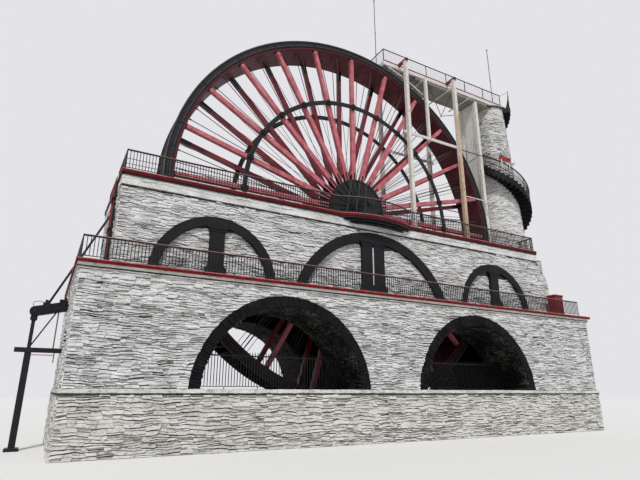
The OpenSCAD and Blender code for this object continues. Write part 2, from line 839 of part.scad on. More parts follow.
// The stair's handrails with their uprights, the tall post at the top, the rail from it to the platform,
// and the straight rail from the timber post to the handrail
module stair_railing() color("black") {
  in = 40;
  top_a = stair_ang(deck_z);
  top_r = stair_rad(deck_z) - in;
  top = [tower_x + top_r * cos(top_a), top_r * sin(top_a), 0];
  translate([tower_x, 0, 0]) {
    helix_tube(stair_rail_h, in, 61);
    helix_tube(stair_rail_h / 2, in, 61);
    for (i = [0:2:tread_count - 1]) {
      z = up_top + (i + 1) * riser;
      a = stair_ang(z);
      r = stair_rad(z) - in;
      translate([r * cos(a), r * sin(a), z]) cylinder(h = stair_rail_h - 5, r = 13, $fn = 16);
    }
  }
  translate([top[0], top[1], up_top + tread_count * riser]) cylinder(h = stair_post_h, r = rail_r, $fn = 24);
  bar_between(
    [deck_x1 + 12, -deck_y + bar_t / 2, deck_z + deck_rail_h - bar_t / 2],
    top + [0, 0, deck_z + stair_post_h - 250], 12
  );
  z = axle_z + long_rail_up;
  a = stair_ang(z - stair_rail_h);
  r = stair_rad(z - stair_rail_h) - in;
  bar_between(
    [post_c_x + post_t / 2 + long_rail_gap, -post_y, z], [tower_x + r * cos(a), r * sin(a), z], long_rail_r
  );
}

module masts() color("silver") {
  translate([deck_x0 - mast_r - seat, 0, deck_bottom]) cylinder(h = mast_h_left + deck_beam_h, r = mast_r, $fn = 24);
  translate([tower_x - 300, -deck_y + kerb_t + mast_r + seat, deck_z])
    cylinder(h = mast_h_right, r = mast_r, $fn = 24);
}

// Left end

// The beam from the side: its round outer end, and its slope up to the wall, grown by g
module beam_outline(g) {
  r = beam_h / 2 + g;
  rise = (low_x0 - beam_axis_x) * tan(beam_rise);
  n = [-r * sin(beam_rise), r * cos(beam_rise)];
  at = [beam_axis_x, beam_z];
  shy = 0.995;
  translate(at) circle(r, $fn = 360);
  polygon([
    at + shy * n, [low_x0, beam_z + rise + r / cos(beam_rise)],
    [low_x0, beam_z + rise - r / cos(beam_rise)], at - shy * n
  ]);
}

module end_beam() color("black") between_y(-beam_t / 2, beam_t / 2) beam_outline(0);

// The post under the beam with its brace, the rail to the wall, and the tie rod up to the upper wall
module end_frame() color("black") {
  brace_foot = frame_rail_z + frame_rail_h;
  difference() {
    union() {
      box(beam_axis_x - pole_t / 2, beam_axis_x + pole_t / 2, -pole_t / 2, pole_t / 2, 0, beam_z);
      bar_between([beam_axis_x, 0, brace_foot], [low_x0 - 455, 0, beam_z + 20], 28);
      bar_between([stay_x, 0, beam_z + 200], [up_x0 + 60, 0, up_top - 890], stay_r);
    }
    between_y(-beam_t / 2 - eps, beam_t / 2 + eps) beam_outline(seat);
    box(up_x0, up_x0 + 300, -200, 200, up_top - 1400, up_top - 500);
  }
  box(
    beam_axis_x - 490, low_x0, -pole_t / 2 - 80, -pole_t / 2, frame_rail_z, frame_rail_z + frame_rail_h
  );
}

// Wheel

module at_axle() translate([0, 0, axle_z]) children();

module shroud() at_axle() between_y(-rim_y, -rim_y + shroud_t) difference() {
  circle(wheel_r, $fn = 240);
  circle(sole_r, $fn = 240);
}

module rim_front() color("darkslategray") shroud();
module rim_rear() color("darkslategray") mirror([0, 1, 0]) shroud();

module sole() color("maroon") at_axle() between_y(-sole_hw, sole_hw) difference() {
  circle(sole_r + sole_t, $fn = 240);
  circle(sole_r, $fn = 240);
}

module buckets() color("sienna") at_axle() {
  r0 = sole_r + sole_t + seat;
  r1 = wheel_r - bucket_edge;
  rm = lerp(r0, r1, bucket_riser);
  between_y(-sole_hw, sole_hw) for (i = [0:bucket_count - 1]) rotate(360 * i / bucket_count) polygon([
    [0, r0], [bucket_t, r0], [bucket_t, rm], [bucket_run + bucket_t, r1 - 8],
    [bucket_run, r1], [0, rm + bucket_t / 2]
  ]);
}

module spoke_set() at_axle() {
  tip_r = sqrt(pow(sole_r - seat, 2) - pow(spoke_w_tip / 2, 2));
  between_y(-spoke_y1, -spoke_y0) for (i = [0:spoke_count - 1]) rotate(i * spoke_step) polygon([
    [-spoke_w_root / 2, spoke_root_r], [spoke_w_root / 2, spoke_root_r],
    [spoke_w_tip / 2, tip_r], [-spoke_w_tip / 2, tip_r]
  ]);
}

module spokes_front() color("indianred") spoke_set();
module spokes_rear() color("firebrick") mirror([0, 1, 0]) spoke_set();

module inner_rings() color("black") front_and_rear() at_axle()
  between_y(-spoke_y1 - inner_ring_t, -spoke_y1) difference() {
    circle(inner_ring_r + inner_ring_w / 2, $fn = 240);
    circle(inner_ring_r - inner_ring_w / 2, $fn = 240);
  }

module hub() at_axle() {
  difference() {
    union() {
      between_y(-hub_face_y, -spoke_y1) circle(hub_r);
      between_y(-hub_face_y - boss_out, -hub_face_y) circle(boss_r);
      between_y(-spoke_y1, -spoke_y0) circle(spoke_root_r - seat - 10);
      between_y(-spoke_y0, -spoke_y0 + hub_in_t) circle(hub_r);
      between_y(-hub_face_y - rib_out, -hub_face_y) for (i = [0:hub_ribs - 1]) rotate(i * 360 / hub_ribs)
        translate([-rib_t / 2, boss_r - 50]) square([rib_t, hub_r - boss_r]);
      between_y(-spoke_y1 - strap_t, -spoke_y1) for (i = [0:spoke_count - 1]) rotate(i * spoke_step)
        translate([-strap_w / 2, hub_r - 100]) square([strap_w, strap_l]);
    }
    between_y(-hub_face_y - boss_out - eps, eps) circle(axle_r + seat);
  }
}

module hubs() color("darkslategray") front_and_rear() hub();

// A tie rod from the inside of one hub to the sole, with a square lug at each end
module tie_rod() {
  y0 = spoke_y0 - hub_in_t;
  r0 = hub_r - 250;
  r1 = sqrt(pow(sole_r - seat, 2) - pow(tie_lug, 2));
  box(-tie_lug, tie_lug, y0 - 1.6 * tie_lug, y0, r0 - tie_lug, r0 + tie_lug);
  box(-tie_lug, tie_lug, -tie_y_rim - tie_lug, -tie_y_rim + tie_lug, r1 - 1.2 * tie_lug, r1);
  bar_between([0, y0 - 0.8 * tie_lug, r0], [0, -tie_y_rim, r1 - 0.5 * tie_lug], tie_r);
}

module tie_rods() color("dimgray") at_axle() for (i = [0:spoke_count - 1]) {
  rotate([0, (i + 0.5) * spoke_step + tie_twist, 0]) tie_rod();
  rotate([0, (i + 0.5) * spoke_step - tie_twist, 0]) mirror([0, 1, 0]) tie_rod();
}

module axle() color("dimgray") at_axle() {
  between_y(-axle_l / 2, axle_l / 2) circle(axle_r);
}

foundation();
lower_wall_front();
lower_wall_rear();
lower_end_walls();
lower_arch_rings();
lower_walkway();
lower_nosing();
upper_wall_front();
upper_wall_rear();
upper_end_walls();
blind_arch_rings();
pillars();
upper_walkway();
upper_nosing();
lower_railing_front();
lower_railing_rear();
upper_railing_front();
upper_railing_rear();
end_railings();
arch_railing();
bearings();
platform_deck();
platform_frame();
platform_timbers();
platform_posts();
platform_braces();
platform_railing();
launder();
splash_screen();
tower();
tower_stair();
stair_railing();
masts();
end_beam();
end_frame();
rim_front();
rim_rear();
sole();
buckets();
spokes_front();
spokes_rear();
inner_rings();
hubs();
tie_rods();
axle();
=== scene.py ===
# %% [markdown]
# # A great overshot water wheel in its whitewashed stone housing
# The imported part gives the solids. This lesson dresses them in the same frame: coursed rubble stone by
# stone, painted iron and timber, and the small fittings that make the place look lived in. Lengths are in
# metres, the ground is at z = 0, the wheel's axle lies along y, and s = -1 is the front, which faces the
# photographer.

# %% Load the part
import math
import random

import bpy
from mathutils import Matrix, Vector


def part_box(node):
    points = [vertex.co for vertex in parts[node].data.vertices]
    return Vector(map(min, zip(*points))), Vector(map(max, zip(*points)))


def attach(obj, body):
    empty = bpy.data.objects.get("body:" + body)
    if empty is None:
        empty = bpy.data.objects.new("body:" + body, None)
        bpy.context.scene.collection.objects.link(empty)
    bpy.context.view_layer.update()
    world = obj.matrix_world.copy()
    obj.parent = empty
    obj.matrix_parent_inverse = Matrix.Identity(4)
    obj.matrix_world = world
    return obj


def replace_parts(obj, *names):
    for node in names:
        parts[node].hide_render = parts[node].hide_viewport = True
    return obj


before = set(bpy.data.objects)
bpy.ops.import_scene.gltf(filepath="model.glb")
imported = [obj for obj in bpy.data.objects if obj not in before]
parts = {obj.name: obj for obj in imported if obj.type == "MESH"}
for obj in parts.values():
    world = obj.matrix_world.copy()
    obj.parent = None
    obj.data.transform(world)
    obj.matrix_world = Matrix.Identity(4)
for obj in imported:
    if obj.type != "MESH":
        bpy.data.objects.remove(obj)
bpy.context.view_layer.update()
print("solids loaded:", len(parts))

# %% [markdown]
# ## Camera
# The photo was taken from the lawn, low down and to the left, with a wide lens tilted up. The place and
# the angles could be tried by eye, but they were fitted to the straight edges of the two tiers and the
# circle of the rim, which settles all seven numbers at once.

# %% Camera
PHOTO_WIDTH, FOCAL_PX, SENSOR_MM, FAR = 640, 486.5, 36, 400
EYE = (-14.85, -23.335, 2.25)
YAW, PITCH, ROLL = (math.radians(a) for a in (29.13, 17.2, -0.17))
forward = Vector((math.sin(YAW) * math.cos(PITCH), math.cos(YAW) * math.cos(PITCH), math.sin(PITCH)))
right = forward.cross(Vector((0, 0, 1))).normalized()
up = right.cross(forward)
roll = Matrix.Rotation(ROLL, 3, forward)
camera_data = bpy.data.cameras.new("camera")
camera_data.sensor_width = SENSOR_MM
camera_data.lens = FOCAL_PX / PHOTO_WIDTH * SENSOR_MM
camera_data.clip_end = FAR
camera = bpy.data.objects.new("camera", camera_data)
bpy.context.scene.collection.objects.link(camera)
axes = Matrix((roll @ right, roll @ up, -forward)).transposed().to_4x4()
camera.matrix_world = Matrix.Translation(EYE) @ axes
bpy.context.scene.camera = camera
print("lens", round(camera_data.lens, 2), "mm")

# %% [markdown]
# ## Materials
# Each finish starts from a real substance. Colours are written as sRGB hex values, and one function turns
# them into the linear values that the shader wants. One more function adds a shader node with its
# settings and links. Everything here is lime, tar, oil paint or timber, so nothing is metallic and the
# IOR is 1.5 throughout; only the roughness and how much of the sky a finish mirrors set them apart.

# %% Colour and shader helpers
def linear(hex_colour):
    channels = [int(hex_colour[i:i + 2], 16) / 255 for i in (0, 2, 4)]
    return [c / 12.92 if c <= 0.04045 else ((c + 0.055) / 1.055) ** 2.4 for c in channels] + [1]


def add(tree, kind, settings=None, stops=(), out=0, **inputs):
    """Adds one shader node and gives one of its outputs. Inputs are sockets to link from, hex colours or
    values; _ in a name stands for a space, and _0 is the first input. stops are marks on a colour ramp."""
    made = tree.nodes.new("ShaderNode" + kind)
    for key, value in (settings or {}).items():
        setattr(made, key, value)
    for key, value in inputs.items():
        name = int(key[1:]) if key[1:].isdigit() else key.replace("_", " ")
        if isinstance(value, bpy.types.NodeSocket):
            tree.links.new(value, made.inputs[name])
        else:
            made.inputs[name].default_value = linear(value) if isinstance(value, str) else value
    marks = made.color_ramp.elements if stops else ()
    while len(marks) < len(stops):
        marks.new(0.5)
    for mark, (at, colour) in zip(marks, stops):
        mark.position = at
        mark.color = linear(colour) if isinstance(colour, str) else [colour] * 3 + [1]
    return made.outputs[out]


IOR = 1.5
RGBA = {"data_type": "RGBA"}
TIMES, LESS, MORE, MOST = ({"operation": o} for o in ("MULTIPLY", "LESS_THAN", "GREATER_THAN", "MAXIMUM"))


def new_finish(name, roughness, mirror=None):
    """A material with its Principled shader, and the position in metres that every pattern starts from."""
    material = bpy.data.materials.new(name)
    material.use_nodes = True
    tree = material.node_tree
    shader = tree.nodes["Principled BSDF"]
    shader.inputs["Roughness"].default_value = roughness
    shader.inputs["IOR"].default_value = IOR
    shader.inputs["Specular IOR Level"].default_value = mirror or (0.2 if roughness > 0.5 else 0.32)
    return material, tree, shader, add(tree, "TexCoord", out="Object")


def lay_on(tree, shader, tone, height, depth_mm):
    """Gives a finish its colour, and its relief of so many millimetres."""
    bump = add(tree, "Bump", Height=height, Distance=depth_mm / 1000, Strength=1.0)
    tree.links.new(tone, shader.inputs["Base Color"])
    tree.links.new(bump, shader.inputs["Normal"])

# %% [markdown]
# ### Limewash
# Limewash is slaked lime, brushed over the rubble every year, so it lies thick, soft and matt on the
# stone. It could be one flat white, but it never is: rain leaves grey and green streaks, most of them
# under ledges. So a noise of patches and a noise of grain choose between three tones, and a third one
# stains. The real grain is a few millimetres wide; it is drawn at 95 mm, as coarse as it needs to be to
# show from the lawn.

# %% How limewash looks
PATCH_MM, GRAIN_MM, STREAK_MM, LIME_RELIEF_MM = 900, 95, 260, 42
TUNNEL_Y, TUNNEL_Z, PIT_REACH_X, PIT_REACH_Y = 3.9, 6.9, 11.2, 2.6
# Near black for the pit and the tunnels: painted shade on their bare stone.
UNLIT_STONE = "151411"


def inside_shade_share(tree, place):
    """1 in the pit and the tunnels behind the arches, bare stone painted black for its shade; 0 outside."""
    x, y, z = add(tree, "SeparateXYZ", Vector=place).node.outputs
    x, y = (add(tree, "Math", {"operation": "ABSOLUTE"}, _0=a) for a in (x, y))
    near_x, near_y, near_z, in_pit = (
        add(tree, "Math", LESS, _0=a, _1=limit)
        for a, limit in ((x, PIT_REACH_X), (y, TUNNEL_Y), (z, TUNNEL_Z), (y, PIT_REACH_Y)))
    in_tunnel = add(tree, "Math", TIMES, _0=near_y, _1=near_z)
    deep = add(tree, "Math", MOST, _0=in_tunnel, _1=in_pit)
    return add(tree, "Math", TIMES, _0=deep, _1=near_x)


def limewash(name, bright, mid, dark, dirt_and_shade, dirt_share, painted_shade_inside=False):
    """Three tones and a stain. The patterns are flattened, because rain and courses spread them sideways."""
    material, tree, shader, place = new_finish(name, roughness=0.85)
    patches, grain, streaks = (
        add(tree, "TexNoise", Vector=add(tree, "Mapping", Vector=place, Scale=(1, 1, flat)), Scale=1000 / mm,
            Detail=detail, Roughness=rough)
        for mm, flat, detail, rough in (
            (PATCH_MM, 2.2, 5, 0.55), (GRAIN_MM, 2.0, 6, 0.7), (STREAK_MM, 3, 8, 0.75)))
    mixed = add(tree, "Mix", _0=0.55, _2=patches, _3=grain)
    tone = add(tree, "ValToRGB", stops=[(0.32, dark), (0.44, mid), (0.56, bright)], Fac=mixed)
    stain = add(tree, "ValToRGB", stops=[(0.9 - dirt_share, 0.0), (1.08 - dirt_share, 0.75)], Fac=streaks)
    tone = add(tree, "Mix", RGBA, out=2, _0=stain, _6=tone, _7=dirt_and_shade)
    # In the pit and the tunnels the tone goes to near black: bare stone, and painted shade.
    if painted_shade_inside:
        tone = add(tree, "Mix", RGBA, out=2, _0=inside_shade_share(tree, place), _6=tone, _7=UNLIT_STONE)
    lay_on(tree, shader, tone, grain, LIME_RELIEF_MM)
    return material


# %% Limewash on stone, in the joints and on the slabs
# Many brushed coats: chalk white, grey in the hollows.
whitewash = limewash("limewash on rubble", "E0DFDE", "C3C2C1", "868581", "6E6C66", 0.27)
# Splashed by rain from the lawn: warmer, with more green streaks.
plinth_wash = limewash("limewash on the plinth", "D9D7D2", "BFBDB7", "8B8980", "6C6A58", 0.32)
# Nearly black round every stone: the brush misses the joints' depth, and the black paints their shade.
joint_shade_wash = limewash("limewash in the joints", "6C6B69", "3A3937", "1F1E1D", "151411", 0.45,
                      painted_shade_inside=True)
# Walked on, and wet for long after rain: grey and stained, and near black over the pit as painted shade.
slab_wash = limewash("limewash on the slabs", "D4D2CC", "BFBCB4", "8F8C82", "5F5C50", 0.4, painted_shade_inside=True)
# Water lies on the ledge: a green tinge.
ledge_wash = limewash("limewash on the ledge", "DAD9D4", "C6C4BD", "918F84", "5F5D4E", 0.4)
# Dressed slabs take the brush evenly: the plainest white, painted brighter against the slab's shadow above.
band_wash_painted_light = limewash("limewash on the bands", "ECEBE7", "DDDBD4", "B2AFA4", "6C6A58", 0.3)
# High up and washed by the wind: even, a little greyer.
tower_wash = limewash("limewash on the tower", "DFDEDC", "CCCBC8", "A4A29E", "716E67", 0.28)
print("kinds of limewash:", len(bpy.data.materials))

# %% [markdown]
# ### Black paint and iron
# The arches are tarred black over rough stone. The castings carry oil-dark green paint, and the railings
# a black gloss that has gone dull. A flat black would look cut out of paper, so each is three near tones,
# mixed by a broad and a fine noise. spot_mm is the size of the chips and stains, again drawn larger than
# life so that they show.

# %% Black finishes
def painted(name, bright, mid, dark, roughness, spot_mm, depth_mm, stretch=(1, 1, 1), mirror=None):
    """Paint in three tones; stretch runs its marks along the grain of the piece."""
    material, tree, shader, place = new_finish(name, roughness, mirror)
    place = add(tree, "Mapping", Vector=place, Scale=stretch)
    broad = add(tree, "TexNoise", Vector=place, Scale=1000 / (spot_mm * 8), Detail=4, Roughness=0.55)
    fine = add(tree, "TexNoise", Vector=place, Scale=1000 / spot_mm, Detail=6, Roughness=0.65)
    mixed = add(tree, "Mix", _0=0.6, _2=broad, _3=fine)
    tone = add(tree, "ValToRGB", stops=[(0.34, dark), (0.5, mid), (0.66, bright)], Fac=mixed)
    lay_on(tree, shader, tone, fine, depth_mm)
    return material


WEATHERED = 0.1
# Old tar on stone is dull, so it mirrors less of the sky than paint does.
tarred = painted("tar paint on the open arches", "242226", "100F12", "060507", 0.62, 60, 18, mirror=WEATHERED)
# Brushed on dressed stone: smoother, with a faint blue sheen.
black_wash = painted("black paint on the blind arches", "1D1C20", "131216", "0C0B0E", 0.6, 70, 8)
# Bare slate that never dries, painted near black for the tunnels' shade, with pale spots of old lime.
damp_stone_in_shade = painted("damp dark stone", "74716A", "1B1A18", "060605", 0.85, 110, 30)
# Soft growth in the drip line, darkened to paint the shadow under each ledge: a matt brown-green black.
moss_and_shade = painted("moss and dirt under a ledge", "55544B", "2A2924", "131210", 0.9, 90, 12)
# Hand-brushed gloss on forged bars: the sharpest of the blacks.
iron = painted("black gloss on wrought iron", "19181B", "0D0C0F", "060507", 0.42, 25, 1.5)
# Darker than the black gloss: painted shade, so that even lit faces read as flat black against the sky.
stair_iron_shaded = painted("black paint on the stair", "121114", "09090B", "040405", 0.6, 30, 2)
# Sand-cast faces under oil-dark paint: slightly grainy, green where the light falls.
casting = painted("dark green paint on cast iron", "2A302F", "0C0F0F", "050606", 0.45, 40, 3)
# Zinc gone to a dull mid grey.
grey_steel = painted("weathered galvanised steel", "747473", "595958", "3D3C3B", 0.5, 30, 1)
# Drawn rod with its paint worn through: a warm dark grey.
tie_iron = painted("dull iron rod", "5E5B58", "434140", "2B2928", 0.5, 20, 1)
# Sawn beam under tar: long marks along the grain.
beam_wood = painted("black tar on pitch pine", "2A292B", "151417", "0B0A0C", 0.55, 40, 4,
                    stretch=(0.15, 1, 1))

# %% [markdown]
# ### Painted and bare timber
# Oil paint on outdoor timber chalks in the sun, and it cracks along the grain. A picture of wood could be
# laid on, but a noise stretched along the length of the piece gives the same marks without one.

# %% Red and maroon paint
ACROSS, UPRIGHT = (1, 0.2, 1), (1, 1, 0.2)
# Fresh gloss on the deck's edge line and the cabinet: clear red.
red_edge = painted("red paint on the slab edge", "9C3032", "80171C", "4A0D12", 0.5, 45, 3)
# A deep blood red and dull: painted shade for the face under its own lip.
nosing_red_shaded = painted("dark red paint on the nosings", "96161A", "6E0C10", "3A0608", 0.55, 45, 3,
                     mirror=WEATHERED)
# Chalked pink by sun and boots, and paler still: a painted highlight on the lit top of the lip.
lip_red_highlight = painted("chalky red paint on the top lips", "BE807C", "A05252", "702C2E", 0.6, 45, 3)
# Rubbed by hands: greyed, with a little gloss left.
red_rail = painted("dull red paint on the top rails", "B48A84", "98706B", "6A4643", 0.5, 30, 1)
# Always wet: soaked, brown-red boards across the wheel.
sole_paint = painted("maroon paint on the sole boards", "66242D", "4C1720", "2D0C11", 0.55, 60, 3,
                     stretch=ACROSS)
# The front spokes face the weather: faded to pink.
front_red = painted("faded red paint on the front spokes", "D0868C", "B15F67", "802F38", 0.5, 50, 2)
# The rear ones are in the wheel's shade: still red.
rear_red = painted("red paint on the rear spokes", "A03C4A", "7E2633", "4C131C", 0.5, 50, 2)
cross_red = painted("red paint on the cross timbers", "A03A4A", "7E2433", "551622", 0.5, 40, 2)

# %% Black, white and grey timber
# Planed boards with many coats: a soft black, paler on the edge for worn paint and a painted highlight.
shroud_paint = painted("black paint on the shroud boards", "302F32", "1D1C1F", "111012", 0.6, 60, 3)
rim_edge_highlight = painted("worn edge of the shroud", "66666A", "4C4C50", "2E2E31", 0.6, 40, 2)
# Bare boards that carry the water: dark brown.
bucket_wood = painted("wet bucket boards", "5A4038", "3B2825", "231716", 0.6, 50, 4, stretch=ACROSS)
# Lead-white oil paint: warm white beams, and a boarded screen painted brighter against its own shade.
beam_white = painted("white paint on the platform beams", "DCDAD8", "CFCCCA", "B1ACA8", 0.55, 45, 2,
                     stretch=(0.2, 1, 1))
screen_white_painted_light = painted("white boarded screen", "ECE9E5", "DEDAD6", "BDB9B4", 0.6, 60, 3, stretch=UPRIGHT)
# Grey paint on a trough that drips, and boards with none left.
launder_paint = painted("grey paint on the launder", "8F8C82", "7B786E", "5E5B52", 0.6, 70, 3,
                        stretch=(0.2, 1, 1))
deck_wood = painted("weathered deck boards", "8F8B84", "75716A", "57534D", 0.8, 40, 3, stretch=ACROSS)

# %% White posts, one of them half bare
POST_X, POST_NEAR, POST_FACE_X, SHOE_TOP, GRAIN_RUN_MM = 8.35, 0.15, 8.24, 11.9, 45
FACE_BARE, ALL_BARE = (21.4, 20.8), (17.8, 17.3)


def half_bare_post():
    """White paint, gone from the front of the timber post below the brace, where the bare pine shows."""
    material, tree, shader, place = new_finish("white paint on the posts", roughness=0.6)
    along = add(tree, "Mapping", Vector=place, Scale=(1, 1, 0.15))
    grain = add(tree, "TexNoise", Vector=along, Scale=1000 / GRAIN_RUN_MM, Detail=6, Roughness=0.65)
    white, pine = (add(tree, "ValToRGB", stops=list(zip((0.34, 0.5, 0.66), tones)), Fac=grain)
                   for tones in (("A9A196", "D2CDC5", "E4E0DA"), ("84705C", "BCA58D", "D6C0A8")))
    x, y, z = add(tree, "SeparateXYZ", Vector=place).node.outputs
    bare_face, bare = (add(tree, "MapRange", _0=z, _1=edge[0], _2=edge[1]) for edge in (FACE_BARE, ALL_BARE))
    on_face = add(tree, "Math", MORE, _0=x, _1=POST_FACE_X)
    bare = add(tree, "Math", MOST, _0=add(tree, "Math", TIMES, _0=on_face, _1=bare_face), _1=bare)
    for share in (add(tree, "Math", {"operation": "COMPARE"}, _0=x, _1=POST_X, _2=POST_NEAR),
                  add(tree, "Math", MORE, _0=z, _1=SHOE_TOP), add(tree, "Math", LESS, _0=y, _1=0.0)):
        bare = add(tree, "Math", TIMES, _0=bare, _1=share)
    lay_on(tree, shader, add(tree, "Mix", RGBA, out=2, _0=bare, _6=white, _7=pine), grain, 2)
    return material


post_white = half_bare_post()
print("materials:", len(bpy.data.materials))

# %% [markdown]
# ### Finishes on the solids
# Each solid of the part takes one finish. A dictionary from finish to names keeps the list short to read,
# and the print at its end shows any solid that was forgotten.

# %% Give every solid its finish
FINISHES = {
    joint_shade_wash: "foundation lower_wall_front lower_wall_rear lower_end_walls upper_wall_front "
                "upper_wall_rear upper_end_walls tower",
    slab_wash: "lower_walkway upper_walkway",
    tarred: "lower_arch_rings",
    black_wash: "blind_arch_rings pillars",
    nosing_red_shaded: "lower_nosing upper_nosing",
    stair_iron_shaded: "tower_stair",
    iron: "lower_railing_front lower_railing_rear upper_railing_front upper_railing_rear end_railings "
          "arch_railing platform_railing stair_railing end_frame inner_rings",
    casting: "bearings hubs axle",
    grey_steel: "masts",
    tie_iron: "tie_rods",
    beam_wood: "end_beam",
    deck_wood: "platform_deck",
    launder_paint: "launder",
    beam_white: "platform_frame platform_braces",
    post_white: "platform_posts",
    screen_white_painted_light: "splash_screen",
    cross_red: "platform_timbers",
    shroud_paint: "rim_front rim_rear",
    sole_paint: "sole",
    bucket_wood: "buckets",
    front_red: "spokes_front",
    rear_red: "spokes_rear",
}
dressed = set()
for material, names in FINISHES.items():
    for name in names.split():
        parts[name].data.materials.clear()
        parts[name].data.materials.append(material)
        dressed.add(name)
print("solids without a finish:", sorted(set(parts) - dressed))

# %% [markdown]
# ## Meshes
# Every added piece is one mesh made from a list of points and faces. It could be modelled from primitives
# and modifiers, but a wall has thousands of stones, and lists of points are quick and give the same mesh
# each run. A piece rides on the housing or on the wheel.

# %% Mesh helper
def piece(name, points, faces, material, body="housing", smooth=False):
    mesh = bpy.data.meshes.new(name)
    mesh.from_pydata([tuple(p) for p in points], [], faces)
    mesh.validate()
    mesh.materials.append(material)
    if smooth:
        mesh.shade_smooth()
    made = bpy.data.objects.new(name, mesh)
    bpy.context.scene.collection.objects.link(made)
    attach(made, body)
    print(name, len(mesh.polygons), "faces")
    return made

# %% [markdown]
# ## Fittings
# Bolts, battens, rods and plates are small, but they are what the eye measures a building by. One helper
# collects them into one mesh: boxes with bevelled edges, bars, rods, hexagonal bolt heads and flat rings.
# The bevels are modelled, because a bevel modifier on so many loose pieces would be slow.

# %% Helper for small fittings
def corner_at(n, side, p, q):
    """The signs of a box's corner: side along direction n, and p and q along the next two."""
    signs = [side, p, q]
    return tuple(signs[(k - n) % 3] for k in range(3))


class Fittings:
    """Collects small parts; build makes one mesh of them."""

    def __init__(self):
        self.points, self.faces = [], []

    def box(self, centre, size, axes=None, bevel=0.15):
        """A box with bevelled edges. axes are its three directions; bevel is a share of its least size."""
        ex, ey, ez = axes or (Vector((1, 0, 0)), Vector((0, 1, 0)), Vector((0, 0, 1)))
        centre, half = Vector(centre), [s / 2 for s in size]
        cut = min(size) * bevel
        start = len(self.points)
        signs = [(i, j, k) for i in (-1, 1) for j in (-1, 1) for k in (-1, 1)]
        for s in signs:
            for whole in range(3):
                reach = [half[n] - (0 if n == whole else cut) for n in range(3)]
                self.points.append(
                    centre + ex * s[0] * reach[0] + ey * s[1] * reach[1] + ez * s[2] * reach[2])
        index = {(s, whole): start + 3 * n + whole for n, s in enumerate(signs) for whole in range(3)}
        for s in signs:
            odd = s[0] * s[1] * s[2] < 0
            corner = [index[s, n] for n in range(3)]
            self.faces.append(tuple(corner[::-1] if odd else corner))
        for n in range(3):
            m, l = (n + 1) % 3, (n + 2) % 3
            for side in (-1, 1):
                loop = []
                for p, q in ((-1, -1), (1, -1), (1, 1), (-1, 1)):
                    loop.append(index[corner_at(n, side, p, q), n])
                self.faces.append(tuple(loop if side > 0 else loop[::-1]))
            for p in (-1, 1):
                for q in (-1, 1):
                    s0, s1 = corner_at(n, -1, p, q), corner_at(n, 1, p, q)
                    loop = (index[s0, m], index[s1, m], index[s1, l], index[s0, l])
                    self.faces.append(loop if p * q < 0 else loop[::-1])

    def beam(self, a, b, width, height, side=(0, 1, 0), bevel=0.12):
        """A bar of rectangular section from a to b; width is measured along side."""
        a, b = Vector(a), Vector(b)
        ex = (b - a).normalized()
        ey = (Vector(side) - ex * ex.dot(Vector(side))).normalized()
        self.box((a + b) / 2, ((b - a).length, width, height), (ex, ey, ex.cross(ey)), bevel)

    def rod(self, a, b, r, sides=8, r2=None):
        a, b = Vector(a), Vector(b)
        ez = (b - a).normalized()
        ex = ez.orthogonal().normalized()
        ey = ez.cross(ex)
        start = len(self.points)
        for end, radius in ((a, r), (b, r if r2 is None else r2)):
            for k in range(sides):
                t = 2 * math.pi * k / sides
                self.points.append(end + (ex * math.cos(t) + ey * math.sin(t)) * radius)
        for k in range(sides):
            m = (k + 1) % sides
            self.faces.append((start + k, start + m, start + sides + m, start + sides + k))
        self.faces.append(tuple(range(start + sides - 1, start - 1, -1)))
        self.faces.append(tuple(range(start + sides, start + 2 * sides)))

    def bolt(self, at, out, r=0.03, high=0.025):
        """A washer with a hexagonal head on it."""
        at, out = Vector(at), Vector(out).normalized()
        self.rod(at - out * 0.004, at + out * high * 0.3, r * 1.35, 12)
        self.rod(at + out * high * 0.3, at + out * high, r, 6, r * 0.92)

    def band(self, centre_z, r0, r1, y0, y1, steps=120, start=0.0, end=2 * math.pi):
        """A flat ring round the wheel's axis, or a part of one."""
        first, full = len(self.points), end - start > 2 * math.pi - 1e-6
        n = steps if full else steps + 1
        for k in range(n):
            t = start + (end - start) * k / steps
            for r, y in ((r0, y0), (r1, y0), (r1, y1), (r0, y1)):
                self.points.append((r * math.sin(t), y, centre_z + r * math.cos(t)))
        for k in range(steps):
            a, b = first + 4 * k, first + 4 * ((k + 1) % n)
            for m in range(4):
                self.faces.append((a + m, a + (m + 1) % 4, b + (m + 1) % 4, b + m))
        if not full:
            self.faces += [(first, first + 3, first + 2, first + 1),
                           tuple(first + 4 * steps + m for m in range(4))]

    def build(self, name, material, body="housing", slot=None, smooth=False):
        return piece(name, self.points, self.faces, material, body, smooth)

# %% [markdown]
# ## Coursed rubble
# The walls are slate rubble, laid in rough courses and limewashed. A pattern in the paint could draw the
# joints, but it can't give the ragged shadow under each ledge, so every stone is a mesh: courses of
# uneven height, stones of uneven length, each one standing out of the wall by its own few centimetres,
# with a chamfered edge and a face that tilts a little. The wall's own solid behind them shows only as the
# joints, painted near black for their shade. Where limewash has closed a joint, the two stones simply lap.

# %% One stone and one wall of stones
STONE_SPAN, LEAST_STONE, LONG_CELL, SPLIT_SHARE = 0.19, 0.03, 0.38, 0.55
ROOT, LEAST_STAND = 0.004, 0.003


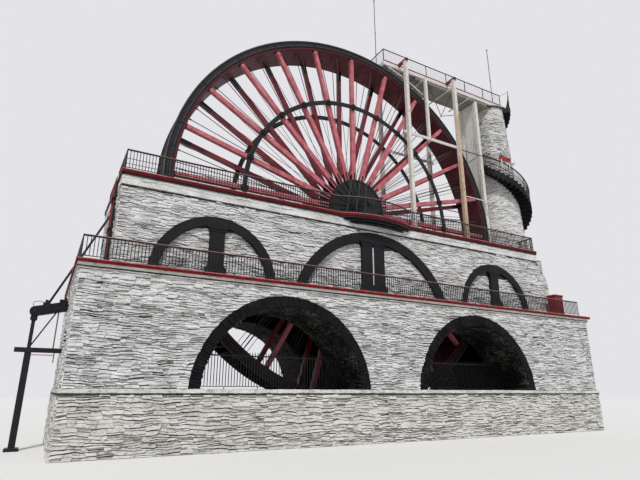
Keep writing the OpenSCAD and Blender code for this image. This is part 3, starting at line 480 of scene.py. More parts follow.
class Rubble:
    """Collects stones. Each wall gives a function that turns along, height and depth into a point. course,
    length, stand and gap are ranges in metres; layers are the counts of stones that may fill one course."""

    def __init__(self, seed, course=(0.17, 0.31), length=(0.18, 0.6), stand=(0.0, 0.075), gap=(-0.012, 0.037),
                 bevel=0.014, sway=1.3, layers=(2, 3, 3, 4)):
        self.random = random.Random(seed)
        self.course, self.length, self.stand, self.gap = course, length, stand, gap
        self.bevel, self.sway, self.layers = bevel, sway, layers
        self.points, self.faces = [], []

    def joint(self):
        """The width of one joint. Below nothing, one stone laps over the next: limewash has closed it."""
        return self.gap[0] + (self.gap[1] - self.gap[0]) * self.random.random() ** 1.1

    def stone(self, at, u0, u1, low, high, slant0=(0, 0), slant1=(0, 0)):
        """One stone from u0 to u1 along; low and high give the heights of its edges, slant moves its ends."""
        rnd = self.random
        spans = max(1, round((u1 - u0) / STONE_SPAN))
        depth = rnd.uniform(*self.stand)
        rough = self.bevel / 2
        tilt_u, tilt_v = rnd.uniform(-rough, rough) * 1.6, rnd.uniform(-rough, 2.4 * rough)
        start = len(self.points)
        for level in (0, 1):
            for k in range(spans + 1):
                share = k / spans
                for top in (0, 1):
                    a = u0 + slant0[top] + share * (u1 + slant1[top] - u0 - slant0[top])
                    v = (high(a) if top else low(a)) + rnd.uniform(-rough, rough) * self.sway
                    d = -ROOT
                    if level:
                        edge = self.bevel * (1 if k == 0 else -1 if k == spans else 0)
                        a += edge * rnd.uniform(0.2, 0.9)
                        v += self.bevel * (-rnd.uniform(0.2, 0.8) if top else rnd.uniform(0.6, 1.5))
                        d = depth + tilt_u * (2 * share - 1) - tilt_v * (2 * top - 1)
                        d = max(d + rnd.uniform(-rough, rough), LEAST_STAND)
                    self.points.append(at(a, max(v, 0), d))
        n = 2 * (spans + 1)
        for k in range(spans):
            b, t = start + 2 * k, start + n + 2 * k
            self.faces += [(t, t + 2, t + 3, t + 1), (b, b + 2, t + 2, t), (t + 1, t + 3, b + 3, b + 1)]
        b, t = start, start + n
        self.faces += [(b, t, t + 1, b + 1), (b + n - 2, b + n - 1, t + n - 1, t + n - 2)]

    def wall(self, at, z0, z1, free, over=None):
        """Courses from z0 to z1. free(z) lists the stretches of the wall that are there at that height, and
        over(a) is the height of an arch's back, which the stones above it sit on."""
        rnd = self.random
        levels = [z0]
        while levels[-1] < z1 - 1e-6:
            rise = rnd.uniform(*self.course)
            levels.append(z1 if z1 - levels[-1] - rise < self.course[0] * 0.6 else levels[-1] + rise)
        sways = [[rnd.uniform(0, 6.28) for _ in range(3)] for _ in levels]

        def edge(a, i):
            if i in (0, len(levels) - 1):
                return levels[i]
            waves = zip((0.5, 0.35, 0.2), (1.7, 4.9, 11.3), sways[i])
            wave = sum(high * math.sin(a * often + start) for high, often, start in waves)
            return levels[i] + wave * 0.25 * self.course[0] * self.sway

        for i in range(len(levels) - 1):
            below, above = free(levels[i] + 0.002), free(levels[i + 1] - 0.002)
            if len(below) == len(above):
                pairs = [((a0, b0), (a1, b1)) for (a0, a1), (b0, b1) in zip(below, above)]
            else:
                pairs = [((a0, a0), (a1, a1)) for a0, a1 in (above if over else below)]
            for start, end in pairs:
                self.course_of_stones(at, i, edge, start, end, over)

    def course_of_stones(self, at, i, edge, start, end, over):
        rnd = self.random
        u0, u1 = max(start), min(end)
        if u1 - u0 < LEAST_STONE:
            return
        last_lean, u = 0, u0
        while u < u1 - 1e-6:
            run = min(rnd.uniform(*self.length), u1 - u)
            if u1 - u - run < self.length[0] * 0.7:
                run = u1 - u
            lean = rnd.uniform(-0.35, 0.35) * self.course[0] * self.sway
            self.cell(
                at, i, edge, u, u + run, over,
                start if u == u0 else (u - last_lean, u + last_lean),
                end if u + run >= u1 - 1e-6 else (u + run - lean, u + run + lean),
            )
            last_lean = lean
            u += run

    def cell(self, at, i, edge, u0, u1, over, left, right):
        """One stone, or two or three stones on each other, between two courses."""
        rnd = self.random
        count = rnd.choice(self.layers)
        cuts = [0] + sorted(k / count + rnd.uniform(-0.12, 0.12) for k in range(1, count)) + [1]
        for lo, hi in zip(cuts, cuts[1:]):
            stops = [0, 1]
            if u1 - u0 > LONG_CELL and count > 1 and rnd.random() < SPLIT_SHARE:
                stops = [0, rnd.uniform(0.3, 0.7), 1]
            bed, roof = self.joint() / 2, self.joint() / 2

            def height(a, share, inset, lo=lo):
                z = edge(a, i) * (1 - share) + edge(a, i + 1) * share + inset
                return max(z, over(a) + 0.004) if over else z

            for s0, s1 in zip(stops, stops[1:]):
                ends = []
                for stop in (s0, s1):
                    gap = (self.joint() * 0.12 - 0.005) * (1 if stop == s0 else -1)
                    ends.append([left[0] * (1 - stop) + right[0] * stop + (left[1] - left[0]) * f * (1 - stop)
                                 + (right[1] - right[0]) * f * stop + gap for f in (lo, hi)])
                (b0, t0), (b1, t1) = ends
                if min(b1 - b0, t1 - t0) < -0.001 or max(b1 - b0, t1 - t0) < LEAST_STONE:
                    continue
                places = (b0, (b0 + b1) / 2, b1)
                if over and all(height(a, lo, bed) > height(a, hi, -roof) - 0.02 for a in places):
                    continue
                self.stone(
                    at, b0, b1,
                    lambda a: height(a, lo, 0 if lo == 0 and i == 0 else bed),
                    lambda a: height(a, hi, -roof),
                    (0, t0 - b0), (0, t1 - b1),
                )

    def build(self, name, material, body="housing", slot="whitewashed_rubble"):
        return piece(name, self.points, self.faces, material, body)


def facing(direction, plane):
    """A wall plane that looks along -y, +y, -x or +x."""
    if direction == "-y":
        return lambda a, z, d: (a, plane - d, z)
    if direction == "+y":
        return lambda a, z, d: (-a, plane + d, z)
    if direction == "-x":
        return lambda a, z, d: (plane - d, -a, z)
    return lambda a, z, d: (plane + d, a, z)

# %% [markdown]
# The openings cut the courses. An arch is a part of a circle on a level foot, so its half width at any
# height comes from the circle. The stones stop against the outside of its black ring.

# %% Sizes that the masonry shares with the solids
LOW_X0, LOW_X1, LOW_Y = -14.1, 15.5, 4.115
UP_X0, UP_X1, UP_Y = -12.95, 13.85, 2.965
PIT_X, PIT_Y = 11.125, 1.375
PLINTH_TOP, PLINTH_BAND = 2.3, 0.17
PLINTH_OUT, BAND_OUT, RING_OUT = 0.06, 0.09, 0.025
LOW_WALL_TOP, LOW_SLAB, LOW_TOP = 6.49, 6.69, 6.84
UP_WALL_TOP, UP_SLAB, UP_TOP = 10.48, 10.98, 11.15
RECESS_Y = UP_Y - 0.15
ARCHES = [(-5.65, 4.2, 3.9, PLINTH_TOP), (5.65, 4.2, 3.9, PLINTH_TOP)]
BLIND = [(-8.75, 2.875, 2.875, LOW_TOP), (-0.1, 4.82, 3.49, LOW_TOP), (8.75, 2.875, 2.875, LOW_TOP)]
ARCH_RING, BLIND_RINGS = 0.45, (0.42, 0.52, 0.42)
PILLARS = [(-8.75, 0.335), (-0.28, 0.705), (8.75, 0.335)]
SHOULDER = [(6.84, 13.85), (8.5, 13.85), (9.3, 13.75), (10.48, 12.9)]


def arch_radius(half, rise):
    return (half * half + rise * rise) / (2 * rise)


def arch_half(arch, z, inset=0.0):
    centre, half, rise, foot = arch
    r = arch_radius(half, rise)
    up = z - (foot + rise - r)
    return math.sqrt(max(0, (r - inset) ** 2 - up * up)) if foot <= z and up < r - inset else 0


def between(x0, x1, arches, mirror=False):
    """Gives the free stretches of a wall from x0 to x1 around its arches, at any height."""
    def free(z):
        right_end = x1(z) if callable(x1) else x1
        stretches, at = [], x0
        for arch in arches:
            half = arch_half(arch, z)
            if half > 0:
                stretches.append((at, arch[0] - half))
                at = arch[0] + half
        stretches.append((at, right_end))
        return [(-b, -a) for a, b in reversed(stretches)] if mirror else stretches
    return free


def shoulder(z):
    """The right end of the upper wall, which rakes back above its foot."""
    for (z0, x0), (z1, x1) in zip(SHOULDER, SHOULDER[1:]):
        if z <= z1:
            return x0 + (x1 - x0) * (z - z0) / (z1 - z0)
    return SHOULDER[-1][1]


def backs(arches, mirror=False):
    """Gives the height of the arches' backs at any place along the wall."""
    def over(a):
        x, best = -a if mirror else a, -1
        for centre, half, rise, foot in arches:
            r = arch_radius(half, rise)
            if abs(x - centre) < r * 0.9:
                best = max(best, foot + rise - r + math.sqrt(r * r - (x - centre) ** 2))
        return best
    return over


SIDES = (("-y", -1, "front"), ("+y", 1, "rear"))
print("arch radii", [round(arch_radius(a[1], a[2]), 2) for a in ARCHES + BLIND])

# %% [markdown]
# The long walls take the smallest and roughest stones, up to the arches' backs. Front and rear are laid
# alike but from their own random seeds, as two masons would.

# %% Front and rear walls
UPPER_STONES = dict(course=(0.19, 0.33), length=(0.22, 0.66), stand=(0.0, 0.06), gap=(-0.014, 0.037))
for side, sign, label in SIDES:
    mirror = sign > 0
    stones = Rubble(11 + mirror)
    stones.wall(facing(side, sign * LOW_Y), PLINTH_TOP, LOW_WALL_TOP, between(LOW_X0, LOW_X1, ARCHES, mirror),
                backs(ARCHES, mirror))
    stones.build("rubble_lower_" + label, whitewash)
    stones = Rubble(31 + mirror, **UPPER_STONES)
    stones.wall(facing(side, sign * UP_Y), LOW_TOP, UP_WALL_TOP, between(UP_X0, shoulder, BLIND, mirror),
                backs(BLIND, mirror))
    stones.build("rubble_upper_" + label, whitewash)

# %% [markdown]
# The plinth is built of larger stones, and its limewash has split along the joints. Each blind arch is a
# shallow recess with the same small rubble at its back, on both sides of its pillar, so the courses there
# run from the pillar to the arc at every height.

# %% Plinth and recesses
PLINTH_STONES = dict(course=(0.19, 0.33), length=(0.2, 0.75), stand=(0.0, 0.085), gap=(-0.012, 0.042),
                     layers=(2, 2, 3, 3))
for side, sign, label in SIDES:
    mirror = sign > 0
    stones = Rubble(41 + mirror, **PLINTH_STONES)
    x0, x1 = LOW_X0 - PLINTH_OUT, LOW_X1 + PLINTH_OUT
    stones.wall(facing(side, sign * (LOW_Y + PLINTH_OUT)), 0, PLINTH_TOP - PLINTH_BAND - 0.035,
                between(x0, x1, [], mirror))
    stones.build("rubble_plinth_" + label, plinth_wash)
    stones = Rubble(45 + mirror, **UPPER_STONES)
    for arch, ring, (pillar, half_pillar) in zip(BLIND, BLIND_RINGS, PILLARS):
        def half_recess(z, s, arch=arch, ring=ring, pillar=pillar, half_pillar=half_pillar):
            half = max(arch_half(arch, z, ring), 0.001)
            near = pillar + s * half_pillar
            far = arch[0] + s * half
            stretch = (min(near, far), max(near, far)) if (far - near) * s > 0 else (near, near)
            return [(-stretch[1], -stretch[0])] if mirror else [stretch]
        for s in (-1, 1):
            top = arch[3] + arch[2] - ring
            stones.wall(facing(side, sign * RECESS_Y), LOW_TOP, top - 0.02, lambda z: half_recess(z, s))
    stones.build("rubble_recess_" + label, whitewash)

# %% [markdown]
# The end walls and the square pier under the tower go on in the same stone. Each face is one more wall,
# and the facing turns the same courses to look the right way.

# %% End walls and the pier under the tower
PIER_X1, PIER_Y, SHOULDER_FOOT = 15.3, 1.65, 8.5
PLINTH_STONES_TOP = PLINTH_TOP - PLINTH_BAND - 0.035
stones = Rubble(51)
low_stones = Rubble(52, **PLINTH_STONES)
for side, sign, x in (("-x", -1, LOW_X0), ("+x", 1, LOW_X1)):
    out = LOW_Y + PLINTH_OUT
    low_stones.wall(facing(side, x + sign * PLINTH_OUT), 0, PLINTH_STONES_TOP, between(-out, out, []))
    stones.wall(facing(side, x), PLINTH_TOP, LOW_WALL_TOP, between(-LOW_Y, LOW_Y, []))
stones.wall(facing("-x", UP_X0), LOW_TOP, UP_WALL_TOP, between(-UP_Y, UP_Y, []))
for low, high in ((-UP_Y, -PIER_Y), (PIER_Y, UP_Y)):
    stones.wall(facing("+x", UP_X1), LOW_TOP, SHOULDER_FOOT, between(low, high, []))
stones.wall(facing("+x", PIER_X1), LOW_TOP, UP_TOP, between(-PIER_Y, PIER_Y, []))
stones.wall(facing("-y", -PIER_Y), LOW_TOP, UP_TOP, between(UP_X1, PIER_X1, []))
stones.wall(facing("+y", PIER_Y), LOW_TOP, UP_TOP, between(-PIER_X1, -UP_X1, []))
stones.build("rubble_ends", whitewash)
low_stones.build("rubble_plinth_ends", plinth_wash)

# %% [markdown]
# The raked shoulder of the upper wall carries a sloping bed of stones on its top. It is a wall that lies
# on its back: height runs up the slope, and depth stands square to it.

# %% Shoulders
stones = Rubble(57, course=(0.12, 0.2), length=(0.2, 0.5), layers=(1,))
for low, high in ((-UP_Y, -PIER_Y), (PIER_Y, UP_Y)):
    for (z0, x0), (z1, x1) in zip(SHOULDER[1:], SHOULDER[2:]):
        reach = math.hypot(z1 - z0, x1 - x0)
        nx, nz = (z1 - z0) / reach, (x0 - x1) / reach

        def on_slope(a, v, d, z0=z0, x0=x0, z1=z1, x1=x1, reach=reach, nx=nx, nz=nz):
            return (x0 + (x1 - x0) * v / reach + nx * d, a, z0 + (z1 - z0) * v / reach + nz * d)

        stones.wall(on_slope, 0, reach, between(low, high, []))
stones.build("rubble_shoulders", whitewash)

# %% [markdown]
# The open arches are turned in rough stones set on edge, tarred black; their soffits run back to the
# wheel pit. The blind arches have a smoother painted ring. A ring could be an array of equal blocks, but
# here no two stones are alike, so it is one course laid on the arc: along is the arc's length, and height
# is the distance from its centre.

# %% Arch rings, soffits and blind rings
def ring_stones(stones, arch, ring, plane, sign, uneven):
    centre, half, rise, foot = arch
    r = arch_radius(half, rise)
    cz = foot + rise - r
    first = math.asin((foot - cz) / r)

    def at(a, v, d):
        t = math.pi - a / r if sign < 0 else a / r
        return (centre + v * math.cos(t), sign * (plane + d), max(foot + 0.002, cz + v * math.sin(t)))

    a, end = first * r, (math.pi - first) * r
    while a < end - 1e-6:
        run = min(stones.random.uniform(*stones.length), end - a)
        if end - a - run < stones.length[0] * 0.6:
            run = end - a
        outer = r + stones.random.uniform(-0.2, 1) * uneven
        inner = r - ring - stones.random.uniform(-0.2, 0.5) * uneven
        gap = stones.joint()
        stones.stone(at, a, a + run, lambda _: inner, lambda _: outer, [gap / 2] * 2, [-gap / 2] * 2)
        a += run


def soffit_stones(stones, arch, ring, y0, y1, sign):
    centre, half, rise, foot = arch
    r = arch_radius(half, rise)
    cz = foot + rise - r
    inner = r - ring
    first = math.asin((foot - cz) / inner)

    def at(a, v, d):
        t = first + v / inner
        return (centre + (inner - d) * math.cos(t), -sign * a, cz + (inner - d) * math.sin(t))

    stones.wall(at, 0, (math.pi - 2 * first) * inner, lambda v: [(-y1, -y0)])


for side, sign, label in SIDES:
    stones = Rubble(61, length=(0.09, 0.2), stand=(0.004, 0.04), gap=(0.0, 0.02), bevel=0.016)
    under = Rubble(63, course=(0.1, 0.2), length=(0.3, 0.8), stand=(0.006, 0.05), gap=(0.0, 0.04), bevel=0.02,
                   layers=(1,))
    for arch in ARCHES:
        ring_stones(stones, arch, ARCH_RING, LOW_Y + RING_OUT, sign, 0.03)
        soffit_stones(under, arch, ARCH_RING, PIT_Y, LOW_Y + RING_OUT - 0.01, sign)
    stones.build("ring_stones_" + label, tarred, slot="black_stone")
    # The soffits take the near black stone: painted shade inside the tunnels.
    under.build("soffit_stones_" + label, damp_stone_in_shade, slot="black_stone")
    stones = Rubble(65, length=(0.2, 0.42), stand=(0.003, 0.008), gap=(0.0, 0.004), bevel=0.004)
    for arch, ring in zip(BLIND, BLIND_RINGS):
        ring_stones(stones, arch, ring, UP_Y + RING_OUT, sign, 0.022)
    stones.build("blind_stones_" + label, black_wash, slot="black_stone")

# %% [markdown]
# Long dressed slabs cap the plinth and form the bands under the walkways. Below each of them lies a dark
# line: moss left by rain, darkened further to paint the shadow of the overhang. The line could be painted
# by height, but a row of thin soft lumps breaks it up the way moss does. Each band goes right round its
# tier, so one function lays all four sides.

# %% Ledge and bands
def round_the_tier(stones, x0, x1, y, z0, z1, right_side=True):
    stones.wall(facing("-y", -y), z0, z1, between(x0, x1, []))
    stones.wall(facing("+y", y), z0, z1, between(-x1, -x0, []))
    stones.wall(facing("-x", x0), z0, z1, between(-y, y, []))
    if right_side:
        stones.wall(facing("+x", x1), z0, z1, between(-y, y, []))


SLAB = dict(length=(0.35, 0.75), stand=(0.0, 0.03), gap=(0.0, 0.02), bevel=0.02, sway=0.6, layers=(1,))
band = Rubble(81, course=(PLINTH_BAND, PLINTH_BAND), **SLAB)
round_the_tier(band, LOW_X0 - BAND_OUT, LOW_X1 + BAND_OUT, LOW_Y + BAND_OUT, PLINTH_TOP - PLINTH_BAND,
               PLINTH_TOP)
band.build("ledge_slabs", ledge_wash)
SMOOTH = dict(length=(0.4, 0.9), stand=(0.0, 0.022), gap=(0.0, 0.012), bevel=0.014, sway=0.6, layers=(1,))
LINE_Z, UP_BAND_X1 = 6.58, 12.9
LOW_BAND_PLAN = (LOW_X0 - 0.08, LOW_X1 + 0.08, LOW_Y + 0.08)
UP_BAND_PLAN = (UP_X0 - 0.04, UP_BAND_X1, UP_Y + 0.08)
band = Rubble(83, course=(0.11, 0.11), **SMOOTH)
round_the_tier(band, *LOW_BAND_PLAN, LINE_Z, LOW_SLAB)
# The lower band takes the brightened white: painted light against the slab's shadow.
band.build("band_slabs", band_wash_painted_light, slot="limewashed_slab")
band = Rubble(84, course=(0.25, 0.25), **SMOOTH)
round_the_tier(band, *UP_BAND_PLAN, UP_WALL_TOP, UP_SLAB)
band.build("upper_band_slabs", whitewash, slot="limewashed_slab")

# %% Moss and shadow lines, and the top course
# Dark strips under the ledge, the bands and the upper nosing: moss, and painted shadow of each overhang.
dirt_and_shade = Rubble(85, course=(0.07, 0.07), length=(0.2, 0.8), stand=(0.055, 0.07), gap=(-0.01, 0.012),
              bevel=0.006, layers=(1,))
round_the_tier(dirt_and_shade, LOW_X0 - PLINTH_OUT, LOW_X1 + PLINTH_OUT, LOW_Y + PLINTH_OUT, 2.065, 2.13)
round_the_tier(dirt_and_shade, UP_X0, UP_BAND_X1, UP_Y, UP_WALL_TOP - 0.07, UP_WALL_TOP)
dirt_and_shade.course, dirt_and_shade.stand = (0.05, 0.05), (0.02, 0.035)
round_the_tier(dirt_and_shade, *LOW_BAND_PLAN, LINE_Z - 0.04, LINE_Z + 0.01)
round_the_tier(dirt_and_shade, *UP_BAND_PLAN, UP_SLAB - 0.05, UP_SLAB, False)
dirt_and_shade.build("moss_and_shade_lines", moss_and_shade)
top_course = Rubble(87, course=(0.05, 0.06), length=(0.15, 0.5), stand=(0.0, 0.03), gap=(-0.01, 0.02),
                    bevel=0.01, layers=(1,))
round_the_tier(top_course, *LOW_BAND_PLAN, LOW_WALL_TOP, LINE_Z - 0.04)
top_course.build("rubble_under_band", whitewash)

# %% [markdown]
# The black pillars between the blind arches are dressed smoother than the wall, with a stepped foot and
# capital; the middle one is a pair with a limewashed gap. Each is a stack of bevelled boxes, listed from
# the foot up by width, depth and height.

# %% Pillars
SHAFT_WIDTH, PAIR_OFFSET, PAIR_X, FOOT_HIGH, GAP_HIGH = 0.655, 0.385, -0.28, 0.56, 2.6
pillar_stones, gap_wash = Fittings(), Fittings()
for s in (-1, 1):
    for x, wide, top in ((-8.75, 0.67, 2.44), (8.75, 0.67, 2.44), (PAIR_X, 1.41, 3.04)):
        halves = (x,) if wide < 1 else (x - PAIR_OFFSET, x + PAIR_OFFSET)
        for centre in halves:
            pillar_stones.box((centre, s * (UP_Y + 0.02), LOW_TOP + 0.1 + top / 2),
                              (SHAFT_WIDTH, 0.09, top - 0.2), bevel=0.2)
        for out, z, wider, deep, high, bevel in (
                (0.04, FOOT_HIGH / 2, 0.26, 0.16, FOOT_HIGH, 0.15), (0.03, 0.6, 0.13, 0.13, 0.1, 0.2),
                (0.03, top - 0.08, 0.26, 0.14, 0.14, 0.15), (0.025, top - 0.21, 0.12, 0.12, 0.12, 0.15)):
            pillar_stones.box((x, s * (UP_Y + out), LOW_TOP + z), (wide + wider, deep, high), bevel=bevel)
    gap_wash.box((PAIR_X, s * (UP_Y - 0.02), LOW_TOP + 1.5), (0.14, 0.04, GAP_HIGH), bevel=0.05)
gap_wash.build("pillar_gap_wash", whitewash)
pillar_stones.build("pillar_stones", black_wash, slot="black_stone")

# %% [markdown]
# The tower is round and tapers. Its stones could be laid flat and bent by a modifier, but a wall already
# takes any function that places a point, so here the wall plane is a circle that shrinks with height. The
# middle of the shaft is rougher than its foot and its top, where the limewash is thick.

# %% Tower stones
TOWER_X, TOWER_R0, TOWER_R1, TOWER_TOP = 13.6, 1.56, 0.985, 23.57


def tower_radius(z):
    return TOWER_R0 + (TOWER_R1 - TOWER_R0) * (z - UP_TOP) / (TOWER_TOP - UP_TOP)


def on_tower(a, z, d):
    r = tower_radius(z) + d
    angle = a / TOWER_R0
    return (TOWER_X + r * math.cos(angle), r * math.sin(angle), z)


ROUGH_Z0, ROUGH_Z1, CAP = 16.9, 22.6, 0.14
stones = Rubble(71, course=(0.17, 0.3))
for z0, z1, stand, gap, bevel in (
        (ROUGH_Z0, ROUGH_Z1, 0.05, (-0.035, 0.07), 0.014),
        (ROUGH_Z1, TOWER_TOP - CAP, 0.03, (0.0, 0.02), 0.012),
        (UP_TOP, ROUGH_Z0, 0.03, (-0.035, 0.04), 0.012)):
    stones.stand, stones.gap, stones.bevel = (0.0, stand), gap, bevel
    stones.wall(on_tower, z0, z1, lambda z: [(0, 2 * math.pi * TOWER_R0)])
stones.build("rubble_tower", tower_wash)

# %% [markdown]
# ## The wheel
# The wheel turns as one body, so all of this rides on it. A place on the wheel could be worked out once
# and copied round by an array, but with its angle from the top, its distance from the axle and its place
# along the axle as the three inputs of one function, every part is placed where it is needed.

# %% Places on the wheel
AXLE_Z, WHEEL_R, SOLE_R, RIM_Y, SHROUD_T = 12.4, 11.05, 10.5, 0.915, 0.11
BLACK_R = 10.655
SPOKE_TIP_R, SPOKE_TIP_W, TIE_TWIST, TIE_Y_RIM = 10.398, 0.215, 1, 0.329
SPOKES, SPOKE_Y0, SPOKE_Y1 = 24, 0.665, 0.905
HUB_R, HUB_FACE, RING_R = 1.74, 1.295, 6.88


def on_wheel(t, r, y):
    return Vector((r * math.sin(t), y, AXLE_Z + r * math.cos(t)))


def wheel_axes(t):
    """Along the rim, along the axle and outwards, at an angle on the wheel."""
    return (Vector((math.cos(t), 0, -math.sin(t))), Vector((0, 1, 0)), Vector((math.sin(t), 0, math.cos(t))))


spoke_angles = [2 * math.pi * k / SPOKES for k in range(SPOKES)]
half_step = math.pi / SPOKES
print("spoke spacing at the rim", round(2 * half_step * SOLE_R, 2), "m")

# %% [markdown]
# The rim is a ring of boards, 0.55 m deep: two shrouds, the sole between them and a board bent into each
# bucket. The shrouds are black for their outer 0.4 m and maroon inside that, where they are one with the
# sole. These four stand for the plain rings of the solids, which can't take two colours.

# %% Rim and sole
RIM_STEPS, SOLE_BOARDS, INNER_Y = 240, 5, RIM_Y - SHROUD_T
for s, node in ((-1, "rim_front"), (1, "rim_rear")):
    ring = Fittings()
    ring.band(AXLE_Z, BLACK_R, WHEEL_R, s * (RIM_Y - SHROUD_T), s * RIM_Y, RIM_STEPS)
    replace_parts(ring.build(node + "_boards", shroud_paint, "wheel", "dark_shroud"), node)
sole = Fittings()
for s in (-1, 1):
    sole.band(AXLE_Z, SOLE_R, BLACK_R - 0.004, s * (RIM_Y - SHROUD_T), s * (RIM_Y - 0.012), RIM_STEPS)
for k in range(SOLE_BOARDS):
    y0 = -INNER_Y + k * 2 * INNER_Y / SOLE_BOARDS
    sole.band(AXLE_Z, SOLE_R, SOLE_R + 0.05, y0 + 0.004, y0 + 0.318, RIM_STEPS)
sole.band(AXLE_Z, SOLE_R + 0.01, SOLE_R + 0.055, -INNER_Y, INNER_Y, RIM_STEPS)
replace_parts(sole.build("sole_boards", sole_paint, "wheel", "maroon_boards"), "sole")

# %% [markdown]
# Each bucket is a riser on the sole and a board that leans forward to the rim, drawn as one bent board.
# Its section has six corners and goes right across the wheel, between the shrouds.

# %% Buckets
BUCKETS, BOARD, LEAN = 168, 0.032, 0.3
r0, r1 = SOLE_R + 0.05, WHEEL_R - 0.025
bend = r0 + 0.4 * (r1 - r0)
section = [(0, r0), (BOARD, r0), (BOARD, bend), (LEAN + BOARD, r1 - 0.008), (LEAN, r1), (0, bend + BOARD / 2)]
blades = Fittings()
for k in range(BUCKETS):
    ex, ey, ez = wheel_axes(2 * math.pi * k / BUCKETS)
    start, n = len(blades.points), len(section)
    for y in (-INNER_Y, INNER_Y):
        blades.points += [Vector((0, y, AXLE_Z)) + ex * x + ez * r for x, r in section]
    blades.faces += [tuple(start + m for m in range(n)), tuple(start + n + m for m in reversed(range(n)))]
    blades.faces += [(start + m, start + n + m, start + n + (m + 1) % n, start + (m + 1) % n)
                     for m in range(n)]
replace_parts(blades.build("bucket_boards", bucket_wood, "wheel", "bucket_boards"), "buckets")

# %% [markdown]
# Each shroud is built of boards butted end to end, with iron cover plates over the joints, a rounded band
# on the outer edge and a thin one on the inner edge. The bands break up the wide black ring with thin
# lines of light, which a flat paint can't do; the two edge rings are paler, as worn paint and a painted
# highlight.

# %% Shrouds
plates, bands, edges = Fittings(), Fittings(), Fittings()
for s in (-1, 1):
    y = s * RIM_Y
    for fittings, r0, r1, back, front in (
            (bands, WHEEL_R - 0.11, WHEEL_R - 0.05, -0.02, 0.02),
            (bands, BLACK_R - 0.004, BLACK_R + 0.04, -0.02, 0.018),
            (bands, SOLE_R - 0.003, SOLE_R + 0.018, -0.03, -0.002),
            (edges, WHEEL_R - 0.045, WHEEL_R + 0.004, -0.03, 0.022),
            (edges, BLACK_R + 0.075, BLACK_R + 0.1, -0.01, 0.012)):
        fittings.band(AXLE_Z, r0, r1, y + s * back, y + s * front, RIM_STEPS)
    for k in range(2 * SPOKES):
        t = k * half_step
        wide = 0.12 if k % 2 == 0 else 0.05
        axes = wheel_axes(t)
        plates.box(on_wheel(t, BLACK_R + 0.17, y + s * 0.006), (wide, 0.02, 0.26), axes)
        plates.box(on_wheel(t, (SOLE_R + BLACK_R) / 2, y - s * 0.01), (wide / 2, 0.012, 0.14), axes)
        if k % 2 == 0:
            for dr in (0.08, 0.17, 0.26):
                for side in (-0.035, 0.035):
                    at = on_wheel(t, BLACK_R + dr, y + s * 0.016) + axes[0] * side
                    plates.bolt(at, (0, s, 0), 0.014, 0.016)
plates.build("shroud_plates", iron, "wheel", "dark_shroud")
bands.build("shroud_bands", black_wash, "wheel", "dark_shroud")
edges.build("shroud_edges", rim_edge_highlight, "wheel", "dark_shroud")

# %% [markdown]
# The spokes end in cast shoes at the rear rim, and in bolted straps at the hub. The iron ring is made of
# arcs clamped together where they cross the spokes. Each spoke could be an object with its fittings,
# copied round; one loop over the spokes fills one mesh for each finish instead.

# %% Spoke shoes, ring clamps and strap bolts
shoes, bolts, tips, lugs = Fittings(), Fittings(), Fittings(), Fittings()
for s in (-1, 1):
    middle = s * (SPOKE_Y0 + SPOKE_Y1) / 2
    for t in spoke_angles:
        axes = wheel_axes(t)
        ex, ey, ez = axes
        if s > 0:
            shoes.box(on_wheel(t, (SPOKE_TIP_R + SOLE_R) / 2 - 0.3, middle), (0.245, 0.262, 0.72), axes, 0.06)
        else:
            tips.box(on_wheel(t, (SPOKE_TIP_R + SOLE_R) / 2, middle),
                     (SPOKE_TIP_W, 0.24, SOLE_R - SPOKE_TIP_R + 0.02), axes, 0.04)
            shoes.box(on_wheel(t, SOLE_R - 0.03, middle), (0.25, 0.258, 0.05), axes, 0.2)
        tie = t + half_step - s * math.radians(TIE_TWIST)
        lugs.box(on_wheel(tie, (SPOKE_TIP_R + SOLE_R) / 2 - 0.01, s * TIE_Y_RIM),
                 (0.06, 0.06, SOLE_R - SPOKE_TIP_R + 0.03), wheel_axes(tie), 0.1)
        for side in (-0.05, 0.05):
            shoes.bolt(on_wheel(t, SPOKE_TIP_R - 0.2, s * 0.912) + ex * side, (0, s, 0), 0.016, 0.02)
        shoes.box(on_wheel(t, RING_R, s * 0.965), (0.2, 0.13, 0.37), axes, 0.1)
        shoes.box(on_wheel(t, RING_R, s * 0.985), (0.36, 0.09, 0.06), axes, 0.1)
        for dr in (-0.11, 0.11):
            shoes.bolt(on_wheel(t, RING_R + dr, s * 1.028), (0, s, 0), 0.024, 0.026)
        for dr in (0.12, 0.3, 0.48, 0.6):
            bolts.bolt(on_wheel(t, HUB_R + dr, s * 0.935), (0, s, 0), 0.02, 0.022)
        for side in (-1, 1):
            shoes.box(on_wheel(t, HUB_R + 0.28, middle) + ex * side * 0.15, (0.02, 0.2, 0.52), axes, 0.2)
shoes.build("spoke_ironwork", iron, "wheel", "black_iron")
tips.build("spoke_tips", front_red, "wheel", "pink_spokes")
lugs.build("tie_rod_lugs", tie_iron, "wheel", "grey_iron")
bolts.build("strap_bolts", tie_iron, "wheel", "grey_iron")

# %% [markdown]
# Each hub is a great casting with raised rings, twelve ribs and a circle of bolts to every socket. The
# solid has the disc; the rings and ribs are laid on it, where they catch the light.

